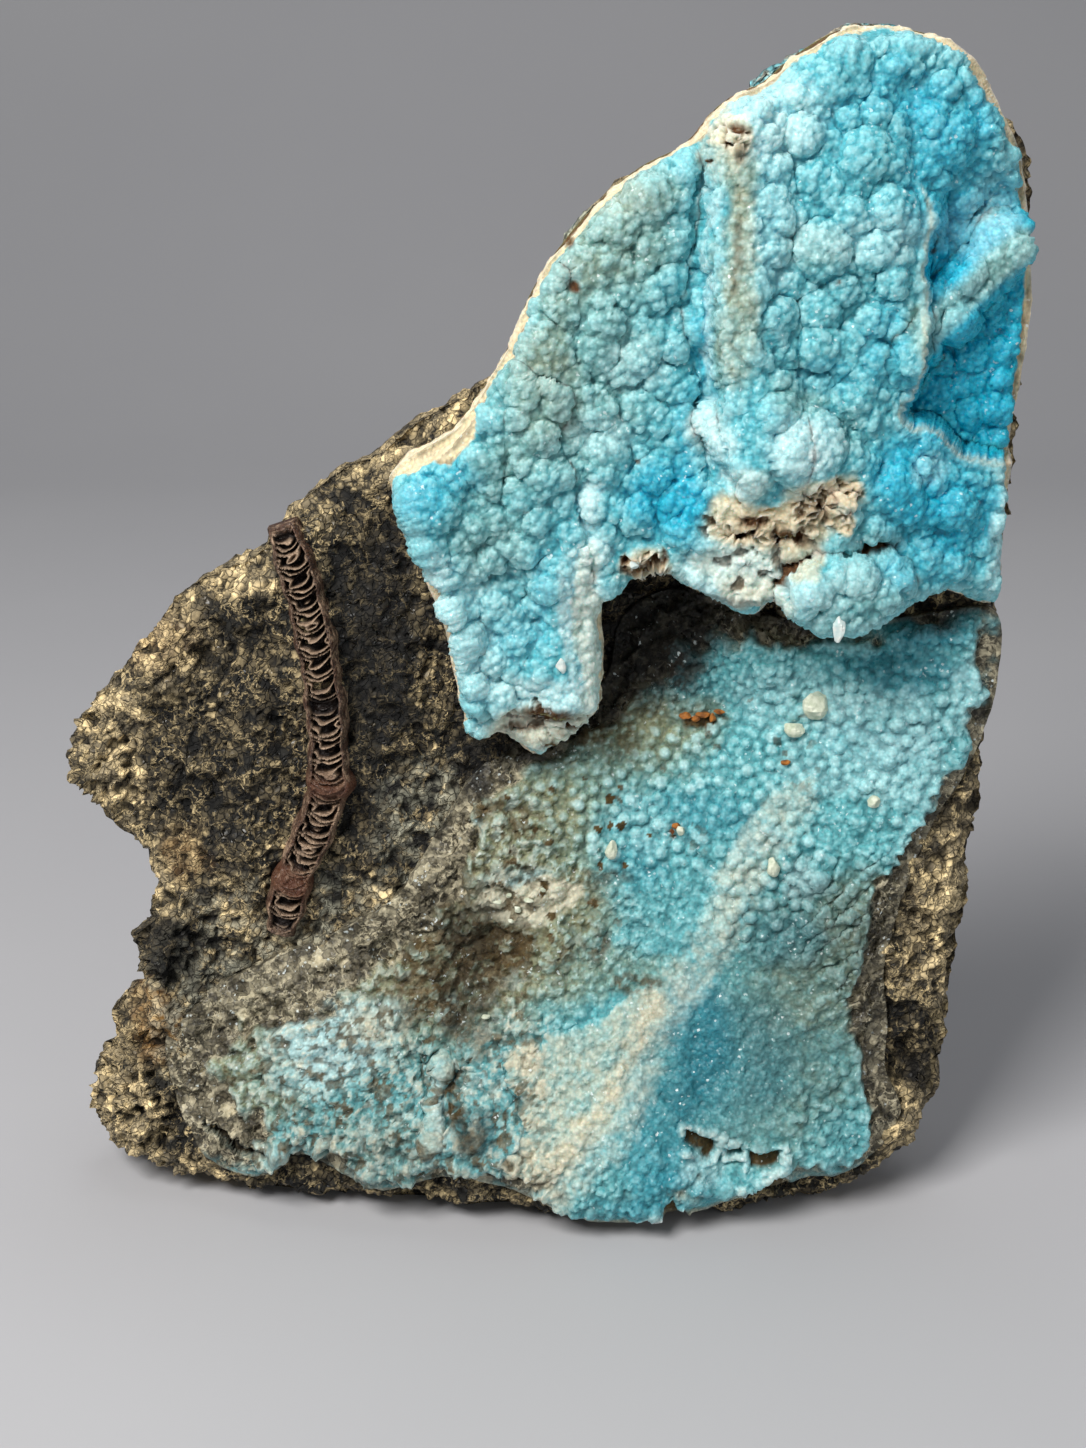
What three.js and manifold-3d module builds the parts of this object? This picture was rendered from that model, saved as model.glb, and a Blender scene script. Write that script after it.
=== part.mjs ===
// A hemimorphite specimen that stands on its cut base. A plate of brown-black gossan carries a
// thick blue crust above, which hangs over a small cave, a fine drusy crust on the slope below,
// and a ribbed brown vein on the bare rock of the left lobe.
//
// Millimetres. +X is to the right of the specimen's face, -Y is out of the face, +Z is up.
// The origin is in the middle of the flat base.
//
// Every piece is a slab: a tiling of an outline in the XZ plane, with a front and a back height
// in Y. Each crust is then cut by the rock, so that it sits on it.

import * as THREE from 'three';
import { mergeVertices } from 'three/addons/utils/BufferGeometryUtils.js';
import Module from 'manifold-3d';

const wasm = await Module();
wasm.setup();

// ---------------------------------------------------------------- driving dimensions

const SEAT_GAP = 0.3; // clearance between a crust and the rock under it
const ROOT_DEPTH = 2; // how far a crust's back starts inside the rock before it is cut

const BASE_THICKNESS = 52; // front to back where the rock stands
const TOP_THICKNESS = 20; // front to back near the summit
const SPECIMEN_HEIGHT = 203;
const ROCK_EDGE_THICKNESS = 4; // blunt edge all round the rock plate
const ROCK_EDGE_ROLL = 6; // width over which the face rolls back to that edge
const BACK_SWELL = 16; // how far in from the edge the back has most of its thickness
const FOOT_HEIGHT = 5; // the face draws in below this height, so a shadow lies under the rim
const FOOT_INSET = 8;

const UPPER_THICKNESS = 9; // the blue plate, where it hangs free
const UPPER_RIM_WIDTH = 2.8; // the broken cream edge of the blue plate
const UPPER_RIM_DROP = 4;
const LOWER_CRUST_DEPTH = 3.6;
const LOWER_RIM_WIDTH = 4;

const VEIN_WIDTH = 7.2;
const VEIN_HEIGHT = 4.6;
const VEIN_RIB_COUNT = 21;

const ROCK_CELL = 4.6;
const UPPER_CELL = 3;
const LOWER_CELL = 3.8;
const BACK_CELL = 8;

// ---------------------------------------------------------------- outlines, as [x, z]

const ROCK_EDGE = [
  [-60, 0], [-71, 1.5], [-78, 4], [-82, 9], [-83, 15], [-81.5, 20], [-79, 25], [-78.5, 30.5],
  [-76, 35], [-72, 37], [-74, 42.5], [-71.5, 49], [-69.5, 54], [-73.5, 61], [-78, 65], [-82, 69.5],
  [-86, 73], [-86, 77], [-82, 84.5], [-75.5, 93], [-70.5, 99.5], [-62, 109], [-49, 115.5],
  [-46.5, 119.5], [-40.5, 125.5], [-34, 130.5], [-28, 133], [-21, 138.5], [-13, 143.5], [-7, 149],
  [-2, 158.5], [5, 171], [9.5, 176], [16, 181], [24, 184.5], [29, 190], [40, 198], [49.5, 202.5],
  [58.5, 202], [64, 200.5], [72, 192], [79, 183], [80.5, 172], [80.5, 153.5], [79, 125],
  [78.5, 92.5], [76, 64], [73, 34.5], [71, 18.5], [65, 8], [54, 0],
];

const UPPER_EDGE = [
  [-24.5, 134], [-24.5, 130], [-21.5, 120.5], [-17.5, 110], [-14, 94], [-12.5, 86.5], [-7, 87],
  [-1.5, 82.5], [4.5, 86], [9, 90.5], [10, 102], [10, 111], [13, 113.5], [19, 117], [24.5, 114],
  [35, 109.5], [38, 112], [42.5, 108.5], [52, 108], [60, 110.5], [66, 113], [75.5, 110],
  [75.5, 122], [76, 133], [77, 150], [77, 170], [74, 181.5], [69, 192.5], [63.5, 199], [56, 201.5],
  [48, 202], [40.5, 197.5], [35, 192.5], [29, 191], [22.5, 184.5], [16, 181.5], [11.5, 178.5],
  [4.5, 171.5], [-2, 162], [-5.5, 153.5], [-10, 146.5], [-15, 140],
];

const LOWER_EDGE = [
  [-10, 78.5], [-4, 76.5], [4, 78], [12, 85], [20, 90.5], [27, 92], [34.5, 101], [44, 101],
  [54.5, 102.5], [64.5, 105], [73, 104], [74, 93], [73, 83], [67.5, 79.5], [65.5, 70], [60, 55],
  [59, 45], [60.5, 36], [60, 26], [62, 18], [57, 8.5], [46, 7.5], [38.5, 6], [19, 3.2], [10, 2.8],
  [3, 4.5], [-6, 8], [-16.5, 9.5], [-30, 6], [-38, 9.5], [-43, 11.5], [-50, 7], [-60, 8.5],
  [-64, 14], [-68, 27], [-66, 34], [-50, 43.5], [-38.5, 49], [-26, 56.5], [-19, 67], [-15, 74],
];

// The sunken deep-blue panel at the right of the blue plate.
const RECESS_EDGE = [
  [57, 144.5], [59.5, 155], [60, 166], [59, 178], [66, 184], [74, 178], [76, 160], [75.5, 142],
  [68, 136.5], [62, 140.5],
];

// The loose-looking pale lump under the ledge at the lower right of the blue plate.
const LUMP_EDGE = [
  [39.5, 117.5], [46.5, 120.5], [57, 121], [60, 117], [58.5, 113], [53, 108.5], [45.5, 108.5],
  [41, 112],
];

// ---------------------------------------------------------------- relief, as [x, z, y]

const ROCK_FACE = [
  [-83, 77, 1], [-76, 70, -2], [-72, 88, -2], [-60, 85, -6], [-60, 102, -4], [-48, 112, -3],
  [-45, 98, -7], [-45, 75, -9], [-30, 85, -9], [-30, 105, -7], [-32, 122, -5], [-22, 135, -3],
  [-62, 62, -8], [-60, 48, -9], [-66, 47, -11], [-75, 30, -10], [-78, 15, -12], [-70, 8, -17],
  [-60, 4, -21], [-48, 4, -24], [-30, 4, -27], [-8, 6, -29.5], [12, 4, -32], [35, 5, -29.5],
  [52, 6, -24], [62, 12, -19.5], [-5, 150, -10], [10, 172, -9], [20, 160, -9], [32, 180, -9], [45, 195, -6],
  [60, 194, -4], [45, 170, -10], [70, 160, -4.5], [66, 142, -5], [40, 140, -12], [60, 120, -8],
  [72, 122, -7], [20, 130, -9], [0, 125, -8], [-14, 122, -8], [-10, 100, -5], [-5, 90, -5],
  [12, 100, 4], [20, 108, 4], [28, 104, 4], [20, 96, 2], [38, 106, -1], [-8, 76, -5.5],
  [12, 84, -1], [24, 92, 2], [38, 98, -0.5], [50, 97, -3], [66, 100, -6], [73, 88, -8],
  [45, 85, -5.5], [20, 78, -4.5], [0, 70, -7.5], [-18, 66, -8.5], [-10, 58, -10], [15, 62, -9],
  [35, 68, -9], [55, 75, -10.5], [68, 72, -12], [66, 52, -15], [45, 52, -13.5], [25, 50, -13.5],
  [0, 46, -13], [-25, 48, -11.5], [-48, 42, -11], [-62, 33, -12], [-63, 20, -15], [-45, 28, -15],
  [-25, 30, -15.5], [0, 30, -19], [25, 30, -19], [50, 34, -16.5], [64, 30, -17], [60, 14, -19],
  [40, 16, -24], [15, 12, -29], [-8, 14, -26.5], [-30, 12, -23.5], [-48, 12, -21],
];
const ROCK_SPREAD = 9;

const UPPER_FACE = [
  [-24, 131, -20], [-20, 118, -20], [-16, 105, -20], [-12.5, 90, -19], [-14, 126, -17.5],
  [-8, 117, -16], [-7, 104, -16], [-4, 95, -17], [-2, 125, -16.5], [-5, 135, -17.5],
  [-10, 142, -19.5], [-3, 160, -19], [3, 98, -20], [9, 104, -13], [9, 94, -13], [12, 114, -16],
  [7, 130, -18], [10, 142, -18], [4, 152, -18.5], [15, 150, -17], [18, 138, -16.5],
  [20, 126, -16.5], [24, 118, -17], [8, 168, -17.5], [14, 178, -16.5], [20, 176, -15],
  [22, 164, -14.5], [22, 148, -14.5], [24, 184, -14.5], [30, 160, -18], [32, 188, -15],
  [40, 190, -16], [44, 180, -18.5], [42, 165, -18], [50, 170, -18.5], [56, 160, -19],
  [50, 150, -18.5], [40, 150, -19], [52, 190, -15], [45, 199, -11], [57, 197, -10],
  [66, 190, -11], [62, 182, -16], [42, 139, -22], [52, 134, -20], [60, 130, -18.5],
  [66, 150, -16], [68, 165, -16], [73, 178, -12], [68, 122, -16.5], [60, 122, -18],
  [73, 130, -13], [74, 112, -13], [34, 128, -22], [45, 126, -22.5], [37, 119, -21],
  [31, 113, -18], [28, 121, -19], [48, 114, -17], [64, 114, -15],
];
const UPPER_SPREAD = 6.5;

// Ribs that run over the blue plate: its route, half width and height.
const RIBS = [
  { route: [[27, 191], [28.6, 182], [29.4, 168], [30.6, 156], [31.6, 146], [31, 137]], half: 4.6, rise: 6 },
  { route: [[26, 142.5], [28.5, 139], [34.5, 134.5]], half: 3, rise: 3 },
  { route: [[6.5, 127], [4.5, 117], [3, 108], [3, 96]], half: 3.2, rise: 3 },
  { route: [[60, 155], [66, 161], [75, 170]], half: 4.5, rise: 4.5 },
];
const RECESS_DEPTH = 7;
const LUMP_RISE = 5.5;
const TONGUE_BREAK_HEIGHT = 93.5; // the hanging tongue is broken off below this height
const TONGUE_BREAK_DEPTH = 3.5;
const TONGUE_RIGHT = 11;

const SMALL_BUBBLE_PITCH = 6.4;
const SMALL_BUBBLE_RISE = 1.8;
const DRUSE_PITCH = 7.6;
const DRUSE_RISE = 1.4;
const BUBBLE_RISE = 0.6; // of the bubble's radius
const SCALLOP_PITCH = 13; // the broken rock is a field of shallow scallops with sharp edges
const SCALLOP_DEPTH = 2.6;
const BACK_SCALLOP_PITCH = 24;
const BACK_SCALLOP_DEPTH = 4.5;

// The large bubbles of the blue plate, as [x, z, radius].
const BUBBLES = [
  [43.5, 170, 4.8], [43.5, 156, 4.2], [54.5, 196.5, 2.9], [51, 189.5, 3], [56, 188, 2.9],
  [51, 184, 4], [42, 180.5, 2.6], [63, 186, 3.6], [52, 170, 3.2], [52, 159, 2.8], [67, 157, 3.5],
  [65, 145, 3.4], [42, 139, 6.4], [-18.5, 129, 4.5], [-19, 122.5, 3.6], [-13.5, 123, 2.6],
  [-8, 126.5, 3], [0.5, 154, 4.5], [8.5, 155, 3.6], [9, 144.5, 3.4], [15.5, 144.5, 3.4],
  [12, 173, 3.4], [16.5, 177.5, 4], [15.5, 162, 3.4], [10, 138, 3.4], [18, 134, 3.4],
  [22, 141, 3.2], [15, 127, 3], [-9, 112, 3.6], [-4, 104, 3.4], [57, 132, 4], [67, 128, 3.6],
];

// Forms on the rock and the lower crust, as [x, z, radius, rise]; a pit has a negative rise.
const ROCK_LUMPS = [
  [-66, 47, 7, 4], [-73, 18, 7, 3], [-80, 76, 6, 3], [-57, 116, 5, -2], [-42, 84, 9, -2],
  [-66, 78, 8, 2], [66, 27, 5, -4], [67, 60, 6, 2], [-52, 62, 7, 2], [-70, 33, 6, 2.5],
];
const LOWER_LUMPS = [
  [38, 99, 7, 2.5], [-38, 31, 10, 2], [-11, 49, 10, -2.5], [8, 30, 11, 1.5], [32, 14, 5, -2.5],
  [-19, 25, 4, -2.5], [60, 92, 8, 1.5], [28, 70, 7, 1], [-28, 53, 4, 1.5], [48, 63, 3, 1.5],
];

const VEIN_ROUTE = [
  [-44.5, 122], [-41.5, 115], [-39.5, 108], [-38, 101.5], [-36.5, 92.5], [-36, 83.5], [-37, 74],
  [-40, 66.5], [-43, 60.5], [-46.4, 49.8],
];

// ---------------------------------------------------------------- small mathematics

const clamp01 = (t) => Math.min(1, Math.max(0, t));
const ease = (t) => clamp01(t) ** 2 * (3 - 2 * clamp01(t));

// A repeatable number from 0 to 1 for each pair of whole numbers.
function chance(i, j) {
  const wave = Math.sin(i * 127.1 + j * 311.7) * 43758.5453;
  return wave - Math.floor(wave);
}

// A smooth line through points in the XZ plane.
function smoothLine(points, closed, count) {
  const curve = new THREE.CatmullRomCurve3(
    points.map(([x, z]) => new THREE.Vector3(x, z, 0)), closed, 'centripetal');
  const line = curve.getSpacedPoints(count).map((p) => [p.x, p.y]);
  if (closed) line.pop();
  return line;
}

// Turns a closed line so that it runs anticlockwise, with X to the right and Z up.
function anticlockwise(line) {
  const area = line.reduce((sum, [ax, az], i) => {
    const [bx, bz] = line[(i + 1) % line.length];
    return sum + ax * bz - bx * az;
  }, 0);
  return area > 0 ? line : [...line].reverse();
}

// The nearest point of a chain of segments: its distance, place and length along the chain.
function nearestOnLine(line, x, z, closed) {
  const best = { distance: Infinity, x: 0, z: 0, along: 0, inside: false };
  const last = closed ? line.length : line.length - 1;
  let travelled = 0;
  for (let i = 0; i < last; i++) {
    const [ax, az] = line[i];
    const [bx, bz] = line[(i + 1) % line.length];
    const [ex, ez] = [bx - ax, bz - az];
    const length = Math.hypot(ex, ez);
    const t = clamp01(((x - ax) * ex + (z - az) * ez) / (length * length));
    const [px, pz] = [ax + t * ex, az + t * ez];
    const distance = Math.hypot(x - px, z - pz);
    if (distance < best.distance) {
      Object.assign(best, { distance, x: px, z: pz, along: travelled + t * length });
    }
    if (closed && az > z !== bz > z && x < ax + ((z - az) / (bz - az)) * ex) best.inside = !best.inside;
    travelled += length;
  }
  return best;
}

// How deep a point lies inside a closed outline; negative outside.
function depthInside(line, x, z) {
  const near = nearestOnLine(line, x, z, true);
  return near.inside ? near.distance : -near.distance;
}

// A height read from hand-set points, each weighted by a bell curve around it.
function blend(points, spread, x, z) {
  let [sum, total] = [0, 0];
  for (const [px, pz, y] of points) {
    const distance2 = (x - px) ** 2 + (z - pz) ** 2;
    const weight = Math.exp(-distance2 / (2 * spread * spread)) + 1e-6 / (1 + distance2);
    sum += weight * y;
    total += weight;
  }
  return sum / total;
}

// Rounded lumps, one to each square of a jittered grid; 0 in the creases and 1 on a crown.
function botryoids(x, z, pitch) {
  const [ci, cj] = [Math.floor(x / pitch), Math.floor(z / pitch)];
  let crown = 0;
  for (let i = ci - 1; i <= ci + 1; i++) {
    for (let j = cj - 1; j <= cj + 1; j++) {
      const px = (i + 0.2 + 0.6 * chance(i, j)) * pitch;
      const pz = (j + 0.2 + 0.6 * chance(j + 57, i)) * pitch;
      const near = Math.hypot(x - px, z - pz) / (0.8 * pitch);
      crown = Math.max(crown, 1 - near * near);
    }
  }
  return crown;
}

// A round bubble that stands out by rise, and a mound that fades into the face around it.
function bubble([cx, cz, radius, rise], x, z) {
  const near = Math.hypot(x - cx, z - cz) / radius;
  return near < 1 ? rise * Math.sqrt(1 - near * near) : 0;
}

function mound([cx, cz, radius, rise], x, z) {
  const near = Math.hypot(x - cx, z - cz) / (1.4 * radius);
  return near < 1 ? rise * (1 - near * near) ** 2 : 0;
}

// ---------------------------------------------------------------- tiling and slabs

// Squares of one size over an outline, with the corners near it moved onto it.
function tile(line, cell) {
  const xs = line.map((p) => p[0]);
  const zs = line.map((p) => p[1]);
  const [i0, i1] = [Math.floor(Math.min(...xs) / cell) - 1, Math.ceil(Math.max(...xs) / cell) + 1];
  const [j0, j1] = [Math.floor(Math.min(...zs) / cell) - 1, Math.ceil(Math.max(...zs) / cell) + 1];
  const points = [];
  const corners = new Map();
  for (let i = i0; i <= i1; i++) {
    for (let j = j0; j <= j1; j++) {
      const near = nearestOnLine(line, i * cell, j * cell, true);
      const depth = near.inside ? near.distance : -near.distance;
      const snapped = near.distance < 0.38 * cell;
      corners.set(`${i},${j}`, { id: points.length, depth: snapped ? 0 : depth });
      points.push(snapped ? [near.x, near.z, near.along] : [i * cell, j * cell, null]);
    }
  }
  const crossings = new Map();
  const crossing = (a, b) => {
    const key = a.id < b.id ? `${a.id},${b.id}` : `${b.id},${a.id}`;
    if (!crossings.has(key)) {
      const t = a.depth / (a.depth - b.depth);
      const x = points[a.id][0] + t * (points[b.id][0] - points[a.id][0]);
      const z = points[a.id][1] + t * (points[b.id][1] - points[a.id][1]);
      const near = nearestOnLine(line, x, z, true);
      crossings.set(key, points.length);
      points.push([near.x, near.z, near.along]);
    }
    return crossings.get(key);
  };
  const triangles = [];
  for (let i = i0; i < i1; i++) {
    for (let j = j0; j < j1; j++) {
      const ring = [[i, j], [i + 1, j], [i + 1, j + 1], [i, j + 1]].map((c) => corners.get(c.join()));
      const polygon = [];
      ring.forEach((corner, k) => {
        const next = ring[(k + 1) % 4];
        if (corner.depth >= 0) polygon.push(corner.id);
        if (corner.depth * next.depth < 0) polygon.push(crossing(corner, next));
      });
      if (polygon.some((id) => points[id][2] === null)) triangles.push(...fan(polygon, points));
    }
  }
  return { points, triangles, rim: rimOf(triangles) };
}

// Splits a small convex polygon into triangles, from the corner that keeps them fattest.
function fan(polygon, points) {
  let best = [];
  let bestArea = -Infinity;
  for (let start = 0; start < polygon.length; start++) {
    const split = [];
    let smallest = Infinity;
    for (let k = 1; k < polygon.length - 1; k++) {
      const triangle = [0, k, k + 1].map((n) => polygon[(start + n) % polygon.length]);
      const [a, b, c] = triangle.map((id) => points[id]);
      const area = (b[0] - a[0]) * (c[1] - a[1]) - (b[1] - a[1]) * (c[0] - a[0]);
      smallest = Math.min(smallest, area);
      split.push(triangle);
    }
    if (smallest > bestArea) [best, bestArea] = [split, smallest];
  }
  return best;
}

// The loop of corners round a tiling, in the order in which its triangles run.
function rimOf(triangles) {
  const edges = new Map();
  for (const [a, b, c] of triangles) {
    for (const [from, to] of [[a, b], [b, c], [c, a]]) {
      if (!edges.delete(`${to},${from}`)) edges.set(`${from},${to}`, [from, to]);
    }
  }
  const next = new Map([...edges.values()]);
  const start = next.keys().next().value;
  const loop = [start];
  while (next.get(loop.at(-1)) !== start) loop.push(next.get(loop.at(-1)));
  if (loop.length !== edges.size) throw new Error('an outline is too narrow for its cells');
  return loop;
}

// Starts a loop at the lowest length along its outline.
function startAtLowest(loop, points) {
  const lengths = loop.map((id) => points[id][2]);
  const first = lengths.indexOf(Math.min(...lengths));
  return [...loop.slice(first), ...loop.slice(0, first)];
}

// A closed body: a finely tiled front, a coarser back, and a wall zipped between their rims.
function slab({ line, cell, backCell, front, back }) {
  const edge = anticlockwise(line);
  const fore = tile(edge, cell);
  const aft = tile(edge, backCell);
  const offset = fore.points.length;
  const vertices = [
    ...fore.points.map(([x, z]) => [x, front(x, z), z]),
    ...aft.points.map(([x, z]) => [x, back(x, z), z]),
  ];
  const faces = [
    ...fore.triangles,
    ...aft.triangles.map(([a, b, c]) => [a + offset, c + offset, b + offset]),
  ];
  const ahead = startAtLowest(fore.rim, fore.points);
  const behind = startAtLowest(aft.rim, aft.points);
  let [i, j] = [0, 0];
  while (i < ahead.length || j < behind.length) {
    const a = ahead[i % ahead.length];
    const b = behind[j % behind.length] + offset;
    const reachA = i + 1 < ahead.length ? fore.points[ahead[i + 1]][2] : Infinity;
    const reachB = j + 1 < behind.length ? aft.points[behind[j + 1]][2] : Infinity;
    if (i < ahead.length && (reachA <= reachB || j === behind.length)) {
      faces.push([ahead[(i + 1) % ahead.length], a, b]);
      i++;
    } else {
      faces.push([b, behind[(j + 1) % behind.length] + offset, a]);
      j++;
    }
  }
  return geometryOf(vertices, faces);
}

// A geometry that holds only the vertices that its faces use.
function geometryOf(vertices, faces) {
  const used = [...new Set(faces.flat())];
  const place = new Map(used.map((id, k) => [id, k]));
  const geometry = new THREE.BufferGeometry();
  const positions = used.flatMap((id) => vertices[id]);
  geometry.setAttribute('position', new THREE.Float32BufferAttribute(positions, 3));
  geometry.setIndex(faces.flat().map((id) => place.get(id)));
  return geometry;
}

// ---------------------------------------------------------------- joining and cutting

function solidOf(geometry) {
  const bare = geometry.clone();
  bare.deleteAttribute('normal');
  bare.deleteAttribute('uv');
  const merged = mergeVertices(bare, 1e-4);
  return new wasm.Manifold(new wasm.Mesh({
    numProp: 3,
    vertProperties: new Float32Array(merged.attributes.position.array),
    triVerts: new Uint32Array(merged.index.array),
  }));
}

function geometryFrom(solid) {
  const mesh = solid.getMesh();
  const geometry = new THREE.BufferGeometry();
  geometry.setAttribute('position', new THREE.Float32BufferAttribute(mesh.vertProperties, 3));
  geometry.setIndex(new THREE.Uint32BufferAttribute(mesh.triVerts, 1));
  return geometry;
}

function named(name, geometry, color, roughness) {
  const material = new THREE.MeshStandardMaterial({ color, roughness, metalness: 0, flatShading: true });
  const mesh = new THREE.Mesh(geometry, material);
  mesh.name = name;
  return mesh;
}

// ---------------------------------------------------------------- the rock

const rockSides = smoothLine(ROCK_EDGE, false, 240); // the straight base closes it

const rockFace = (x, z) => blend(ROCK_FACE, ROCK_SPREAD, x, z);

function rockFront(x, z) {
  const fromEdge = nearestOnLine(rockSides, x, z, false).distance;
  const roll = ROCK_EDGE_ROLL * (1 - ease(fromEdge / ROCK_EDGE_ROLL)) ** 2;
  const foot = FOOT_INSET * (1 - ease(z / FOOT_HEIGHT));
  const lumps = ROCK_LUMPS.reduce((sum, lump) => sum + mound(lump, x, z), 0);
  const scallops = SCALLOP_DEPTH * (botryoids(x, z, SCALLOP_PITCH) - 0.6);
  return rockFace(x, z) + roll + foot - lumps + scallops;
}

function rockBack(x, z) {
  const fromEdge = nearestOnLine(rockSides, x, z, false).distance;
  const edge = rockFace(x, z) + ROCK_EDGE_ROLL + ROCK_EDGE_THICKNESS;
  const thickness = THREE.MathUtils.lerp(BASE_THICKNESS, TOP_THICKNESS, z / SPECIMEN_HEIGHT);
  const full = thickness / 2;
  const swell = 1 - Math.exp(-fromEdge / BACK_SWELL);
  const scallops = BACK_SCALLOP_DEPTH * (1 - botryoids(x + 40, z, BACK_SCALLOP_PITCH));
  return THREE.MathUtils.lerp(edge, full + scallops, swell);
}

const rock = slab({
  line: rockSides, cell: ROCK_CELL, backCell: BACK_CELL, front: rockFront, back: rockBack,
});
const rockSeat = solidOf(rock.clone().translate(0, -SEAT_GAP, 0));
const seated = (geometry) => geometryFrom(solidOf(geometry).subtract(rockSeat));

// ---------------------------------------------------------------- the blue plate

const upperLine = smoothLine(UPPER_EDGE, true, 260);
const recessLine = smoothLine(RECESS_EDGE, true, 60);
const lumpLine = smoothLine(LUMP_EDGE, true, 50);

const upperFace = (x, z) => blend(UPPER_FACE, UPPER_SPREAD, x, z);

function upperFront(x, z) {
  const fromEdge = nearestOnLine(upperLine, x, z, true).distance;
  const rim = UPPER_RIM_DROP * (1 - ease(fromEdge / UPPER_RIM_WIDTH));
  const recess = RECESS_DEPTH * ease(depthInside(recessLine, x, z) / 3.5);
  const lump = LUMP_RISE * Math.sqrt(ease(depthInside(lumpLine, x, z) / 4));
  const broken = x < TONGUE_RIGHT ? TONGUE_BREAK_DEPTH * ease((TONGUE_BREAK_HEIGHT - z) / 2) : 0;
  const rib = Math.max(...RIBS.map(({ route, half, rise }) => {
    const near = nearestOnLine(route, x, z, false).distance / half;
    return rise * (1 - ease(near)) * ease(fromEdge / 4);
  }));
  const large = Math.max(...BUBBLES.map(([cx, cz, r]) => bubble([cx, cz, r, BUBBLE_RISE * r], x, z)));
  const small = SMALL_BUBBLE_RISE * botryoids(x, z, SMALL_BUBBLE_PITCH);
  return upperFace(x, z) + rim + recess + broken - lump - rib - Math.max(large, small);
}

function upperBack(x, z) {
  return Math.min(rockFront(x, z) + ROOT_DEPTH, upperFace(x, z) + UPPER_THICKNESS);
}

const upperCrust = seated(slab({
  line: upperLine, cell: UPPER_CELL, backCell: ROCK_CELL, front: upperFront, back: upperBack,
}));

// ---------------------------------------------------------------- the drusy slope

const lowerLine = smoothLine(LOWER_EDGE, true, 240);

function lowerFront(x, z) {
  const fromEdge = nearestOnLine(lowerLine, x, z, true).distance;
  const rim = (LOWER_CRUST_DEPTH - 1.2) * (1 - ease(fromEdge / LOWER_RIM_WIDTH));
  const lumps = LOWER_LUMPS.reduce((sum, lump) => sum + mound(lump, x, z), 0);
  const druse = DRUSE_RISE * botryoids(x, z, DRUSE_PITCH);
  return rockFace(x, z) - LOWER_CRUST_DEPTH + rim - lumps - druse;
}

const lowerBack = (x, z) => rockFront(x, z) + ROOT_DEPTH;

const lowerCrust = seated(slab({
  line: lowerLine, cell: LOWER_CELL, backCell: ROCK_CELL, front: lowerFront, back: lowerBack,
}));

// ---------------------------------------------------------------- the ribbed vein

// A bar carried along its route, with a channel in its front that is crossed by ribs.
function ribbedBar() {
  const route = smoothLine(VEIN_ROUTE, false, 2 * VEIN_RIB_COUNT);
  const half = VEIN_WIDTH / 2;
  const vertices = [];
  const faces = [];
  route.forEach(([x, z], k) => {
    const [ax, az] = route[Math.max(0, k - 1)];
    const [bx, bz] = route[Math.min(route.length - 1, k + 1)];
    const length = Math.hypot(bx - ax, bz - az);
    const [sideX, sideZ] = [-(bz - az) / length, (bx - ax) / length];
    const taper = 0.7 + 0.3 * ease(Math.min(k, route.length - 1 - k) / 4);
    const floor = k % 2 ? 0.45 : 0.8;
    const section = [
      [-0.9, -0.6], [-1, 0.3], [-0.8, 0.9], [-0.5, 1], [-0.3, floor], [0.3, floor], [0.5, 1],
      [0.8, 0.9], [1, 0.3], [0.9, -0.6],
    ];
    const foot = rockFace(x, z);
    for (const [across, out] of section) {
      const reach = across * half * taper;
      vertices.push([x + sideX * reach, foot - out * VEIN_HEIGHT * taper, z + sideZ * reach]);
    }
  });
  const around = 10;
  for (let k = 0; k + 1 < route.length; k++) {
    for (let n = 0; n < around; n++) {
      const [a, b] = [k * around + n, k * around + ((n + 1) % around)];
      faces.push([a, a + around, b], [b, a + around, b + around]);
    }
  }
  for (let n = 1; n + 1 < around; n++) {
    const last = (route.length - 1) * around;
    faces.push([0, n, n + 1], [last, last + n + 1, last + n]);
  }
  return geometryOf(vertices, faces);
}

const ribbedVein = seated(ribbedBar());

// ---------------------------------------------------------------- the specimen

const specimen = new THREE.Group();
specimen.add(
  named('matrix', rock, '#4b4136', 0.95),
  named('upper_crust', upperCrust, '#7cc3cd', 0.45),
  named('lower_crust', lowerCrust, '#5fa5ab', 0.5),
  named('ribbed_vein', ribbedVein, '#6b4a37', 0.8),
);

export default specimen;
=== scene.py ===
# %% [markdown]
# # A hemimorphite specimen, dressed in Blender
#
# The object is a hand-high piece of dark brown ironstone. A thick plate of blue hemimorphite grew
# over its upper half in round, sugary bubbles, and hangs over a small cave. A finer druse covers
# the slope below, and a ribbed brown vein runs down the bare rock at the left.
#
# A specimen like this could be sculpted by hand or remeshed from balls. Here every surface is a
# formula: a height over the XZ plane, worked out with numpy for all its points at once. That way
# each number has a plain meaning, and the same shapes come out on every run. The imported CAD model
# is loaded first, because its solids fix the size and the place of each piece.

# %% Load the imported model
from collections import namedtuple
from itertools import product

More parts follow.
